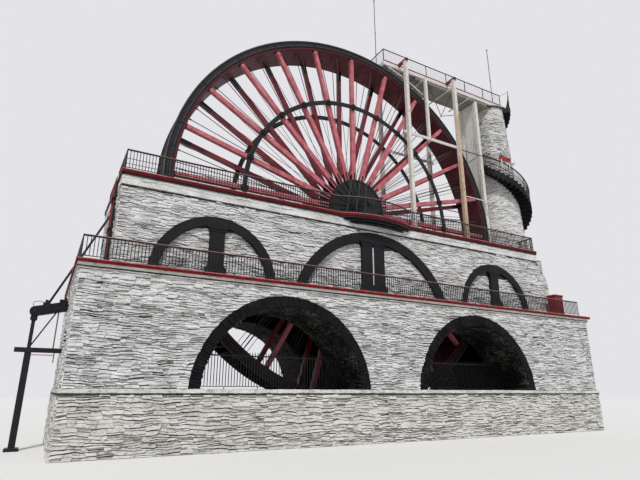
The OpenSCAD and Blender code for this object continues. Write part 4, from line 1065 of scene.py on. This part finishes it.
# %% Hubs
RIBS = 12
hub_parts = Fittings()
for s in (-1, 1):
    y = s * HUB_FACE
    for r0, r1, low, high, steps in ((1.63, 1.755, -0.02, 0.022, 120), (0.61, 0.78, -0.02, 0.03, 96),
                                     (1.17, 1.21, -0.02, 0.014, 96), (1.70, 1.765, -0.275, -0.215, 120)):
        hub_parts.band(AXLE_Z, r0, r1, y + s * low, y + s * high, steps)
    for k in range(2 * SPOKES):
        t = (k + 0.5) * half_step
        hub_parts.bolt(on_wheel(t, 1.69, y + s * 0.02), (0, s, 0), 0.024, 0.03)
    for k in range(RIBS):
        t = (k + 0.5) * 2 * math.pi / RIBS
        hub_parts.box(on_wheel(t, 1.2, y + s * 0.01), (0.03, 0.05, 0.78), wheel_axes(t), 0.2)
        hub_parts.bolt(on_wheel(t, 0.7, y + s * 0.028), (0, s, 0), 0.03, 0.035)
    hub_parts.rod((0, s * 1.5, AXLE_Z), (0, s * 1.545, AXLE_Z), 0.52, 48)
hub_parts.build("hub_fittings", casting, "wheel", "black_casting")

# %% [markdown]
# Besides the stout tie rods, thin guy rods run from hub to rim, some of them across the wheel to the
# other side, two to a bay from each hub. They could be curves with a bevel; straight rods of six sides
# are enough.

# %% Guy rods
GUY_HUB_R = 1.62
guys = Fittings()
for k in range(SPOKES):
    for s in (-1, 1):
        for from_share, to_share, y in ((0.62, 0.34, -0.55), (-0.2, -0.2, 0.75)):
            t0, t1 = ((2 * k + 1 + share * s) * half_step for share in (from_share, to_share))
            guys.rod(on_wheel(t0, GUY_HUB_R, s * 0.6), on_wheel(t1, SOLE_R - 0.01, s * y), 0.015, 6)
guys.build("guy_rods", tie_iron, "wheel", "grey_iron")

# %% [markdown]
# ## Walkways
# The red edge of each walkway is a moulded board: a lip, a groove and a lower lip. It could be one moulded
# profile, but three plain bars along the same line give the same shadow, and each takes its own paint: a
# pale red on the top lip as a painted highlight, a deep red below as painted shade, and black in the groove
# as its painted shade. A black strip under the upper nosing paints the shadow it casts. The upper walkway
# bows out over the wheel, so its line has an arc in it.

# %% Lines along a walkway
LOW_EDGE, UP_EDGE = (-14.25, 15.7, 4.315), (-13.03, 12.9, 3.115)
BOW_HALF, BOW_OUT, BOW_STEPS = 2.3, 0.54, 32
BOW_R = (BOW_HALF ** 2 + BOW_OUT ** 2) / (2 * BOW_OUT)


def edge_run(x0, x1, y, bowed, right_end=True):
    """The plan of a walkway's edge as open lines: the left end, the two long sides and the right end."""
    runs = [[(x0, -y), (x0, y)]]
    for s in (-1, 1):
        line = [(x0, s * y)]
        if bowed:
            centre = y + BOW_OUT - BOW_R
            half = math.acos((y - centre) / BOW_R)
            for k in range(BOW_STEPS + 1):
                t = -half + 2 * half * k / BOW_STEPS
                line.append((BOW_R * math.sin(t), s * (centre + BOW_R * math.cos(t))))
        runs.append(line + [(x1, s * y)])
    if right_end:
        runs.append([(x1, -y), (x1, y)])
    return runs


def along(fittings, runs, z, thick, high, bevel=0.2):
    """Bars along open lines, each reaching half its thickness past the corners so that they close."""
    for line in runs:
        for (x0, y0), (x1, y1) in zip(line, line[1:]):
            step = Vector((x1 - x0, y1 - y0, 0)).normalized() * thick * 0.5
            fittings.beam(Vector((x0, y0, z)) - step, Vector((x1, y1, z)) + step, thick, high,
                          (-step.y, step.x, 0), bevel)


print("the balcony is an arc of radius", round(BOW_R, 2), "m")

# %% Nosing mouldings
UP_NOSING, LIP, GROOVE, SHADOW_STRIP = 0.17, 0.05, 0.012, 0.09
lips, top_lips, shade_bars = Fittings(), Fittings(), Fittings()
for (x0, x1, y), bowed, top, thick, groove_at, groove_high in (
        (LOW_EDGE, False, LOW_TOP, 0.15, 0.062, 0.022), (UP_EDGE, True, UP_TOP, UP_NOSING, 0.073, 0.044)):
    runs = edge_run(x0, x1, y, bowed, not bowed)
    # The top lips take the pale red, a painted highlight; the lower lips the deep red, painted shade.
    along(top_lips, runs, top - LIP / 2, LIP, LIP)
    along(lips, runs, top - thick + 0.022, 0.04, 0.044)
    # The groove is a thin black bar: painted shade in it.
    along(shade_bars, runs, top - groove_at, GROOVE, groove_high)
lips.build("nosing_lips", nosing_red_shaded, slot="red_paint")
top_lips.build("nosing_top_lips", lip_red_highlight, slot="red_paint")
x0, x1, y = UP_EDGE
# A black strip set back under the upper nosing paints the shadow it casts.
set_back = edge_run(x0 + 0.05, x1 - 0.02, y - 0.045, False, False)
along(shade_bars, set_back, UP_TOP - UP_NOSING - SHADOW_STRIP / 2, 0.07, SHADOW_STRIP)
shade_bars.build("nosing_shade_bars", iron, slot="black_iron")

# %% [markdown]
# The bowed balcony hangs on a curved black bracket that steps back under its edge. Each step is the same
# arc, drawn further in and lower down.

# %% Under the balcony
bracket = Fittings()
for drop, in_by, high in ((0.23, 0.10, 0.12), (0.34, 0.22, 0.10), (0.44, 0.36, 0.10)):
    arcs = [line[1:-1] for line in edge_run(0, 0, UP_EDGE[2] - in_by, True)[1:3]]
    along(bracket, arcs, UP_TOP - drop, 0.16, high, 0.25)
bracket.build("balcony_bracket", iron, slot="black_iron")

# %% [markdown]
# Three thin oil pipes stand on the walkway beside each bearing and bend over to its top, so that the
# oiler need not climb. Each is two plain rods and a round foot; the bend is too small to show from the
# lawn.

# %% Oil pipes
PIPE_Y, PIPE_END_Y, PIPE_TOP, PIPE_END = 2.56, 2.3, 13.367, 12.82
pipes = Fittings()
for s in (-1, 1):
    for x_top, x_foot in ((-1.29, -1.673), (-0.728, -1.094), (-0.30, -0.43)):
        foot, bend = Vector((x_foot, s * PIPE_Y, UP_TOP)), Vector((x_top, s * PIPE_Y, PIPE_TOP))
        pipes.rod(foot, bend, 0.018)
        pipes.rod(bend, (x_top * 0.5, s * PIPE_END_Y, PIPE_END), 0.012)
        pipes.rod(foot, foot + Vector((0, 0, 0.02)), 0.07, 10)
pipes.build("oil_pipes", tie_iron, slot="grey_iron")

# %% [markdown]
# ### Railings
# The bars come from the solids. Added here are a thin red top rail, collars on the bars of the lower
# railing, mid rails on the upper one, and spear heads on the bars in the arches. There are hundreds of
# collars, so each is a rod of six sides and no more.

# %% Top rails and mid rails
LOW_RAIL_X0, LOW_RAIL_X1, LOW_RAIL_Y = -14.126, 14.8, 4.191
UP_RAIL_X0, UP_RAIL_X1, UP_RAIL_Y = -12.906, 12.776, 2.991
GATE_HALF, PIER_GATE_Y = 0.3, 1.75
caps, details = Fittings(), Fittings()
low_runs = [[(LOW_RAIL_X0, s * LOW_RAIL_Y), (LOW_RAIL_X1, s * LOW_RAIL_Y)] for s in (-1, 1)]
low_runs += [[(LOW_RAIL_X0, s * GATE_HALF), (LOW_RAIL_X0, s * LOW_RAIL_Y)] for s in (-1, 1)]
up_runs = edge_run(UP_RAIL_X0, UP_RAIL_X1, UP_RAIL_Y, True)[1:3]
up_runs += [[(UP_RAIL_X0, s * GATE_HALF), (UP_RAIL_X0, s * UP_RAIL_Y)] for s in (-1, 1)]
up_runs.append([(UP_RAIL_X1, -UP_RAIL_Y), (UP_RAIL_X1, -PIER_GATE_Y)])
for runs, z in ((low_runs, LOW_TOP + 0.905), (up_runs, UP_TOP + 0.945)):
    along(caps, runs, z, 0.05, 0.022)
for lift in (0.28, 0.52):
    along(details, up_runs, UP_TOP + lift, 0.022, 0.022)
caps.build("rail_caps", red_rail, slot="red_paint")

# %% Collars and spear heads
BARS, BAR_RUN, BARS_TO_A_POST, BAR_R, COLLAR_R = 222, 28.912, 12, 0.008, 0.019
SPEARS, SPEAR_X0, SPEAR_RUN, SPEAR_Y, SPEAR_CLEAR_Z, SPEAR_R = 59, -3.796, 7.592, -2.601, 3.9, 0.024
for s in (-1, 1):
    for k in range(BARS + 1):
        foot = Vector((LOW_RAIL_X0 + k * BAR_RUN / BARS, s * LOW_RAIL_Y, LOW_TOP))
        for lift in (0.36, 0.50):
            details.rod(foot + Vector((0, 0, lift - 0.02)), foot + Vector((0, 0, lift + 0.02)), COLLAR_R, 6)
        if k % BARS_TO_A_POST == 0:
            details.rod(foot, foot + Vector((0, 0, 0.03)), 0.05, 8, 0.03)
for centre, half, rise, foot in ARCHES:
    r = arch_radius(half, rise)
    clear = math.sqrt((r - ARCH_RING) ** 2 - (SPEAR_CLEAR_Z - foot - rise + r) ** 2)
    for k in range(SPEARS):
        x = SPEAR_X0 + k * SPEAR_RUN / (SPEARS - 1)
        if abs(x) < clear:
            for low, high, r0, r1 in ((3.71, 3.77, BAR_R, SPEAR_R), (3.77, 3.87, SPEAR_R, 0.003)):
                details.rod((centre + x, SPEAR_Y, low), (centre + x, SPEAR_Y, high), r0, 6, r1)
details.build("rail_details", iron, slot="black_iron")

# %% [markdown]
# ## Platform
# The deck is carried on close joists and laid with boards, with a red line along its edge. Its railing is
# a round tube on posts, filled with thin wire mesh. The mesh could be a see-through sheet, but real wires
# keep their shadow, and at four sides each they cost little.

# %% Deck, edge line and railing
DECK_Z, DECK_X0, DECK_X1, DECK_Y = 23.9, 2.65, 14.1, 0.8
JOIST_PITCH, FRAME_PITCH, WIRE_PITCH, WIRE_R, RAIL_H = 0.1875, 0.75, 0.091, 0.0025, 0.93
END_X = DECK_X0 + 0.015
ribs, wires, boards, tubes, line = Fittings(), Fittings(), Fittings(), Fittings(), Fittings()
for k in range(16):
    x = 2.86 + k * JOIST_PITCH
    # The solid frame already has a joist at every fourth place.
    if abs((x - DECK_X0 + FRAME_PITCH / 2) % FRAME_PITCH - FRAME_PITCH / 2) > 0.08:
        ribs.box((x, 0, 23.72), (0.055, 1.44, 0.16))
for s in (-1, 1):
    ribs.box((8.3, s * 0.828, 23.605), (11.3, 0.03, 0.05))
    for k in range(13):
        for z in (23.66, 23.8):
            ribs.bolt((2.9 + k * 0.9, s * 0.818, z), (0, s, 0), 0.018, 0.016)
    for k in range(1, 126):
        x = DECK_X0 + WIRE_PITCH * k
        wires.rod((x, s * DECK_Y, DECK_Z + 0.06), (x, s * DECK_Y, DECK_Z + 0.92), WIRE_R, 4)
    tubes.rod((DECK_X0, s * 0.79, DECK_Z + RAIL_H), (DECK_X1, s * 0.79, DECK_Z + RAIL_H), 0.034, 8)
    for k in range(7):
        x = END_X + k * (DECK_X1 - DECK_X0 - 0.03) / 6
        tubes.rod((x, s * 0.79, DECK_Z + 0.06), (x, s * 0.79, DECK_Z + RAIL_H), 0.027, 8)
    line.box(((DECK_X0 + DECK_X1) / 2, s * 0.822, DECK_Z + 0.022), (DECK_X1 - DECK_X0, 0.014, 0.075),
             bevel=0.1)
tubes.rod((END_X, -0.79, DECK_Z + RAIL_H), (END_X, 0.79, DECK_Z + RAIL_H), 0.034, 8)
for k in range(-8, 9):
    at = Vector((END_X - 0.001, WIRE_PITCH * k, DECK_Z))
    wires.rod(at, at + Vector((0, 0, 0.92)), WIRE_R, 4)
for z in (0.18, 0.36, 0.54, 0.72):
    for s in (-1, 1):
        wires.rod((DECK_X0, s * DECK_Y, DECK_Z + z), (DECK_X1, s * DECK_Y, DECK_Z + z), 0.003, 4)
    wires.rod((END_X - 0.001, -0.77, DECK_Z + z), (END_X - 0.001, 0.77, DECK_Z + z), 0.003, 4)
for k in range(64):
    boards.box((DECK_X0 + 0.18 + k * 0.177, 0, DECK_Z + 0.006), (0.168, 1.44, 0.012), bevel=0.3)
tubes.build("platform_rail_tubes", iron, slot="black_iron")
line.build("platform_red_line", red_edge, slot="red_paint")
boards.build("deck_boards", deck_wood, slot="grey_boards")
wires.build("railing_mesh", grey_steel, slot="grey_iron")
ribs.build("deck_ribs", beam_white, slot="white_timber")

# %% [markdown]
# The launder is the trough that brings the water; boards line its underside. A pale curved board hangs
# beside the rim and keeps spray off the people below. It is a part of a flat ring round the axle, on two
# thin hangers.

# %% Launder boards and splash board
x0, _, launder_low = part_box("launder")[0]
lining, guard = Fittings(), Fittings()
for k in range(40):
    lining.box((x0 + 0.1 + 0.2 * k, 0, launder_low - 0.004), (0.185, 1.56, 0.012), bevel=0.3)
lining.build("launder_boards", launder_paint, slot="grey_boards")
GUARD_R0, GUARD_R1, GUARD_FROM, GUARD_TO = 11.31, 11.37, math.radians(14.8), math.radians(31.4)
guard.band(AXLE_Z, GUARD_R0, GUARD_R1, -0.97, -0.88, 40, GUARD_FROM, GUARD_TO)
for degrees in (16.5, 23.0):
    foot = on_wheel(math.radians(degrees), GUARD_R1 - 0.01, -0.925)
    guard.rod(foot, (foot.x, -0.80, 23.6), 0.014, 8)
guard.beam(on_wheel(math.radians(31.0), 11.34, -0.93), (5.9, -1.16, 22.2), 0.05, 0.09)
guard.build("splash_guard", beam_white, slot="white_timber")

# %% [markdown]
# The posts stand in iron shoes, the braces are bolted, and thin rods stiffen the frame: four meet behind
# the last post, one runs from each middle post to the launder's edge, and a small stay stands out from
# the last post. The shoes could be part of the posts; as separate plates they keep their own shadow line.

# %% Post shoes, bolts and rods
POST_XS, POST_Y, SIDE_BOLT = (3.95, 8.35), 1.5175, 0.14
shoes, rods = Fittings(), Fittings()
for s in (-1, 1):
    for x in POST_XS:
        for side in (-1, 1):
            shoes.box((x + side * 0.128, s * POST_Y, 11.45), (0.022, 0.16, 0.6), bevel=0.2)
            for z in (11.6, 11.35):
                shoes.bolt((x + side * SIDE_BOLT, s * POST_Y, z), (side, 0, 0), 0.025, 0.03)
        shoes.box((x, s * POST_Y, 11.17), (0.42, 0.40, 0.03), bevel=0.2)
        shoes.box((x, s * 1.70, 23.9), (0.19, 0.02, 0.21), bevel=0.2)
        for z in (12.9, 15.2, 17.6, 19.9, 22.0):
            shoes.bolt((x + 0.03, s * 1.636, z), (0, s, 0), 0.022, 0.02)
    for x in (3.95, 5.9, 8.35):
        for z in (18.40, 18.50):
            shoes.bolt((x, s * 1.401, z), (0, s, 0), 0.02, 0.02)
    shoes.box((11.245, s * 0.715, 11.18), (0.34, 0.34, 0.05), bevel=0.2)
    rods.rod((5.95, s * 1.30, 21.85), (6.98, s * 0.78, 23.36), 0.022, 6)
MEET, STAY_FOOT = (9.9, 1.515, 22.95), (8.98, -1.515, 17.28)
for end in ((5.95, -1.30, 23.20), (8.36, -1.42, 23.12), (11.2, 0.84, 23.1), (8.42, 1.5, 21.2)):
    rods.rod(MEET, end, 0.024, 6)
for end in ((10.2, -1.515, 18.24), (8.98, -1.515, 18.24), (8.45, -1.515, 17.28)):
    rods.rod(STAY_FOOT, end, 0.026, 6)
shoes.box((8.52, -1.515, 18.26), (0.12, 0.10, 0.14), bevel=0.2)
shoes.build("post_shoes", iron, slot="black_iron")
rods.build("crossed_rods", iron, slot="grey_iron")

# %% [markdown]
# The long braces run from post to post on both sides. Slim beams under the launder tie the two sides
# together, and the middle posts hang from the first of them by a block at each end. These stand for the
# plain braces of the solids, which have no bevel and no blocks.

# %% Braces and cross beams
braces = Fittings()
for s in (-1, 1):
    for centre, size, bevel in (
            ((6.1, 1.365, 18.45), (4.9, 0.07, 0.2), 0.1),
            ((9.7525, 1.3, 14.93), (2.865, 0.06, 0.06), 0.15),
            ((8.35, 1.365, 14.93), (0.06, 0.07, 0.06), 0.1),
            ((11.155, 1.0525, 14.93), (0.06, 0.435, 0.06), 0.15),
            ((5.9, 1.245, launder_low - 0.085), (0.17, 0.17, 0.17), 0.06)):
        braces.box((centre[0], s * centre[1], centre[2]), size, bevel=bevel)
for x, half_long in ((5.9, 1.33), (8.35, 1.40), (10.395, 1.165)):
    braces.box((x, 0, launder_low - 0.045), (0.075, 2 * half_long, 0.09), bevel=0.12)
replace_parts(braces.build("post_braces", beam_white, slot="white_timber"), "platform_braces")

# %% [markdown]
# The splash screen beside the wheel is close boarded across, with cover strips down it. Its boards could
# be lines in the paint, but they are seen edge on, where only real steps show.

# %% Splash screen strips
SCREEN_X, BOARDS_UP, BOARD_PITCH = 11.245, 86, 0.141
strips = Fittings()
for side in (-1, 1):
    x = SCREEN_X + side * 0.034
    for k in range(BOARDS_UP):
        strips.box((x, 0, 11.27 + k * BOARD_PITCH), (0.03, 1.19, 0.07), bevel=0.25)
    for y in (-0.58, -0.19, 0.19, 0.58):
        strips.box((x + side * 0.014, y, 17.3), (0.014, 0.035, 12.1))
# The screen's white is painted brighter, against the shade it stands in.
strips.build("screen_strips", screen_white_painted_light, slot="white_boards")

# %% [markdown]
# ## Stair and tower
# The stair winds up the tower with a close set of balusters under its handrail. One function gives any
# point on it from its height, since both the angle and the radius change evenly with height; the feet
# follow the treads.

# %% Balusters and handrail
STAIR_R0, STAIR_R1, TREAD, TREADS, TURN_RISE, START_DEGREES = 2.5, 1.62, 0.2, 62, 8.6, -405
RAIL_STEPS, RAIL_RISE, BALUSTER_RISE = 120, 12.55, 0.052


def on_stair(z, lift, inset=0.04):
    angle = math.radians(START_DEGREES + 360 * (DECK_Z - z) / TURN_RISE)
    r = STAIR_R0 + (STAIR_R1 - STAIR_R0) * (z - UP_TOP) / (DECK_Z - UP_TOP) - inset
    return Vector((TOWER_X + r * math.cos(angle), r * math.sin(angle), z + lift))


balusters = Fittings()
z = UP_TOP + 0.25
while z < DECK_Z - 0.05:
    foot = on_stair(z, 0)
    foot.z = max(UP_TOP + TREAD * math.floor((z - UP_TOP) / TREAD + 0.5), UP_TOP + TREAD)
    balusters.rod(foot, on_stair(z, 0.95), 0.012, 5)
    z += BALUSTER_RISE
for k in range(TREADS):
    z = UP_TOP + TREAD * (k + 1)
    balusters.beam(on_stair(z - 0.09, 0.078, 0.02), on_stair(z + 0.09, -0.102, 0.02), 0.02, 0.05,
                   (0, 0, 1), 0.2)
for k in range(RAIL_STEPS):
    z0, z1 = (UP_TOP + TREAD + (k + end) * RAIL_RISE / RAIL_STEPS for end in (0, 1))
    for lift, r, sides in ((0.965, 0.042, 8), (0.24, 0.016, 5), (0.5, 0.012, 5)):
        balusters.rod(on_stair(z0, lift), on_stair(z1, lift), r, sides)
balusters.build("stair_balusters", iron, slot="black_iron")

# %% [markdown]
# A plain red board and a pale lamp box hang on the stair's rail, turned with it, and both masts end in a
# ball on a collar. A ball of three short cones is round enough at this size.

# %% Board, lamp box and mast knobs
board, lamp_box, knobs = Fittings(), Fittings(), Fittings()
UPWARD = Vector((0, 0, 1))
for fittings, along_it, centre, size, bevel in (
        (board, (0.81, -0.46, -0.36), (12.5, -1.83, 18.42), (0.84, 0.03, 0.36), 0.2),
        (lamp_box, (0.86, -0.5, 0), (13.0, -2.1, 18.24), (0.32, 0.25, 0.5), 0.1)):
    ex = Vector(along_it).normalized()
    ey = UPWARD.cross(ex).normalized()
    fittings.box(centre, size, (ex, ey, ex.cross(ey)), bevel)
for x, y in ((12.3, -1.72), (12.8, -1.95), (13.0, -2.1)):
    lamp_box.rod((x, y, 17.75), (x, y, 18.4), 0.03, 8)
board.build("stair_board", red_edge, slot="red_paint")
lamp_box.build("stair_lamp_box", screen_white_painted_light, slot="grey_iron")
for x, y, z in ((2.622, 0, 29.5), (13.3, -0.742, 28.86)):
    for low, high, r0, r1 in ((0, 0.03, 0.03, 0.06), (0.03, 0.07, 0.06, 0.06), (0.07, 0.11, 0.06, 0.02),
                              (-2.9, -2.75, 0.042, 0.042), (-4.6, -4.5, 0.042, 0.042)):
        knobs.rod((x, y, z + low), (x, y, z + high), r0, 12, r1)
knobs.build("mast_knobs", grey_steel, slot="grey_iron")

# %% [markdown]
# ## Left end
# The beam carries the balance gear of the pump rods. Its post is stouter below the rail, and small
# brackets and anchor plates hold everything to the masonry. All of it is boxes, bars and bolts, so each
# piece is one row of sizes rather than a shape of its own.

# %% Post, beam fittings and anchor plates
POST_AT, BEAM_LOW, BEAM_PITCH, CABLE_Z = -15.35, 5.36, math.radians(14), 5.66
end_iron, end_red, end_pale = Fittings(), Fittings(), Fittings()
for centre, size, bevel in (
        ((POST_AT, 0, 1.85), (0.24, 0.26, 3.7), 0.08), ((POST_AT, 0, 0.06), (0.5, 0.5, 0.12), 0.2),
        ((POST_AT, 0, 5.08), (0.26, 0.24, 0.22), 0.2), ((-14.97, 0, 5.70), (0.28, 0.2, 0.10), 0.2),
        ((-14.98, 0, 5.80), (0.12, 0.14, 0.14), 0.2), ((-14.36, 0, 5.86), (0.30, 0.26, 0.12), 0.2),
        ((-14.30, 0, 5.95), (0.10, 0.12, 0.14), 0.2)):
    end_iron.box(centre, size, bevel=bevel)
end_iron.rod((POST_AT, -0.17, BEAM_LOW), (POST_AT, 0.17, BEAM_LOW), 0.07, 16)
for x in (-15.1, -14.8, -14.5, -14.25):
    for dz in (-0.11, 0.11):
        for s in (-1, 1):
            at = (x, s * 0.152, BEAM_LOW + (x - POST_AT) * math.tan(BEAM_PITCH) + dz)
            end_iron.bolt(at, (0, s, 0), 0.026, 0.03)
for z in (4.02, 4.17, 4.32):
    end_iron.rod((-14.10, -2.4, z), (-14.22, -2.4, z), 0.05, 10, 0.035)
for y in (-2.2, 0.0, 2.2):
    end_iron.rod((-12.96, y, 9.2), (-13.03, y, 9.2), 0.16, 16)
cable = [(-15.25 + 0.22 * math.cos(t), 0.06 * math.sin(t), CABLE_Z + 0.14 * math.sin(t))
         for t in (math.radians(-40 + 13 * k) for k in range(22))]
for p, q in zip(cable, cable[1:]):
    end_iron.rod(p, q, 0.012, 6)

# %% Red and pale pipes, and the duct on the upper wall
DUCT_Z, DUCT_H = 8.9, 4.1
end_pale.rod((-14.48, -0.05, 3.88), (-14.48, -0.05, 5.42), 0.026, 8)
end_pale.rod((-14.41, -0.1, 3.30), (-14.41, -0.1, 3.69), 0.02, 8)
end_red.beam((-15.28, -0.1, 3.60), (-14.40, -0.1, 3.60), 0.03, 0.03)
for fittings, x, y, wide, deep in (
        (end_iron, -13.03, -1.85, 0.16, 0.16), (end_red, -13.06, -1.58, 0.20, 0.14),
        (end_pale, -13.02, -1.30, 0.12, 0.10)):
    fittings.box((x, y, DUCT_Z), (wide, deep, DUCT_H), bevel=0.1)
for z in (7.4, 8.8, 10.2):
    end_iron.box((-13.08, -1.55, z), (0.24, 0.85, 0.06), bevel=0.15)
end_iron.build("left_end_ironwork", iron, slot="black_iron")
end_red.build("left_end_red", red_edge, slot="red_paint")
end_pale.build("left_end_pale", grey_steel, slot="grey_iron")

# %% [markdown]
# A red steel cabinet stands at the right end of the lower walkway: a case, a hood, a plinth, a door that
# stands proud by its own thickness, and a handle.

# %% Red cabinet
CABINET_X, CABINET_Y = 13.48, -3.6
cabinet = Fittings()
for x, y, z, size, bevel in (
        (0, 0, 0.62, (0.78, 0.56, 1.2), 0.04), (0, 0, 1.26, (0.86, 0.64, 0.09), 0.2),
        (0, 0, 0.03, (0.66, 0.46, 0.06), 0.1), (0, -0.285, 0.64, (0.66, 0.02, 1.04), 0.3),
        (0.28, -0.305, 0.7, (0.03, 0.03, 0.14), 0.2)):
    cabinet.box((CABINET_X + x, CABINET_Y + y, LOW_TOP + z), size, bevel=bevel)
cabinet.build("red_cabinet", red_edge, slot="red_paint")

# %% [markdown]
# ## Light, floor and background
# The photo was taken under a flat grey sky. A bright world gives that even light, and one large soft sun
# from above and in front keeps the shadow under each stone. The camera sees a brighter sky than the one
# that lights the stones, as a camera does that is set for the building. The floor only catches the
# contact shadow.

# %% World, sun and floor
SUN_ENERGY, SUN_SIZE, SUN_TURN = 2.75, math.radians(8), (math.radians(36), 0, math.radians(-28))
FLOOR_HALF, FLOOR_Z = 160, -0.002
world = bpy.data.worlds.new("overcast")
bpy.context.scene.world = world
world.use_nodes = True
tree = world.node_tree
tree.nodes.clear()
rays = add(tree, "LightPath").node.outputs
seen = add(tree, "Math", MOST, _0=rays["Is Camera Ray"], _1=rays["Is Glossy Ray"])
seen = add(tree, "Math", MOST, _0=seen, _1=rays["Is Transmission Ray"])
light = add(tree, "Background", Color="F2F4F8", Strength=0.5)
sky = add(tree, "Background", Color="E4E3E7", Strength=1.0)
shown = add(tree, "MixShader", _0=seen, _1=light, _2=sky)
tree.links.new(shown, tree.nodes.new("ShaderNodeOutputWorld").inputs["Surface"])

sun_data = bpy.data.lights.new("sun", "SUN")
sun_data.energy, sun_data.angle = SUN_ENERGY, SUN_SIZE
sun = bpy.data.objects.new("sun", sun_data)
sun.rotation_euler = SUN_TURN
bpy.context.scene.collection.objects.link(sun)

floor_mesh = bpy.data.meshes.new("floor")
corners = [(x * FLOOR_HALF, y * FLOOR_HALF, FLOOR_Z) for x, y in ((-1, -1), (1, -1), (1, 1), (-1, 1))]
floor_mesh.from_pydata(corners, [], [(0, 1, 2, 3)])
floor = bpy.data.objects.new("floor", floor_mesh)
bpy.context.scene.collection.objects.link(floor)
floor_paint, _, shader, _ = new_finish("pale floor", roughness=0.9)
shader.inputs["Base Color"].default_value = linear("D9D8D6")
floor_mesh.materials.append(floor_paint)
bpy.context.scene.view_settings.view_transform = "Standard"
print("lights:", len(bpy.data.lights), "and the world")
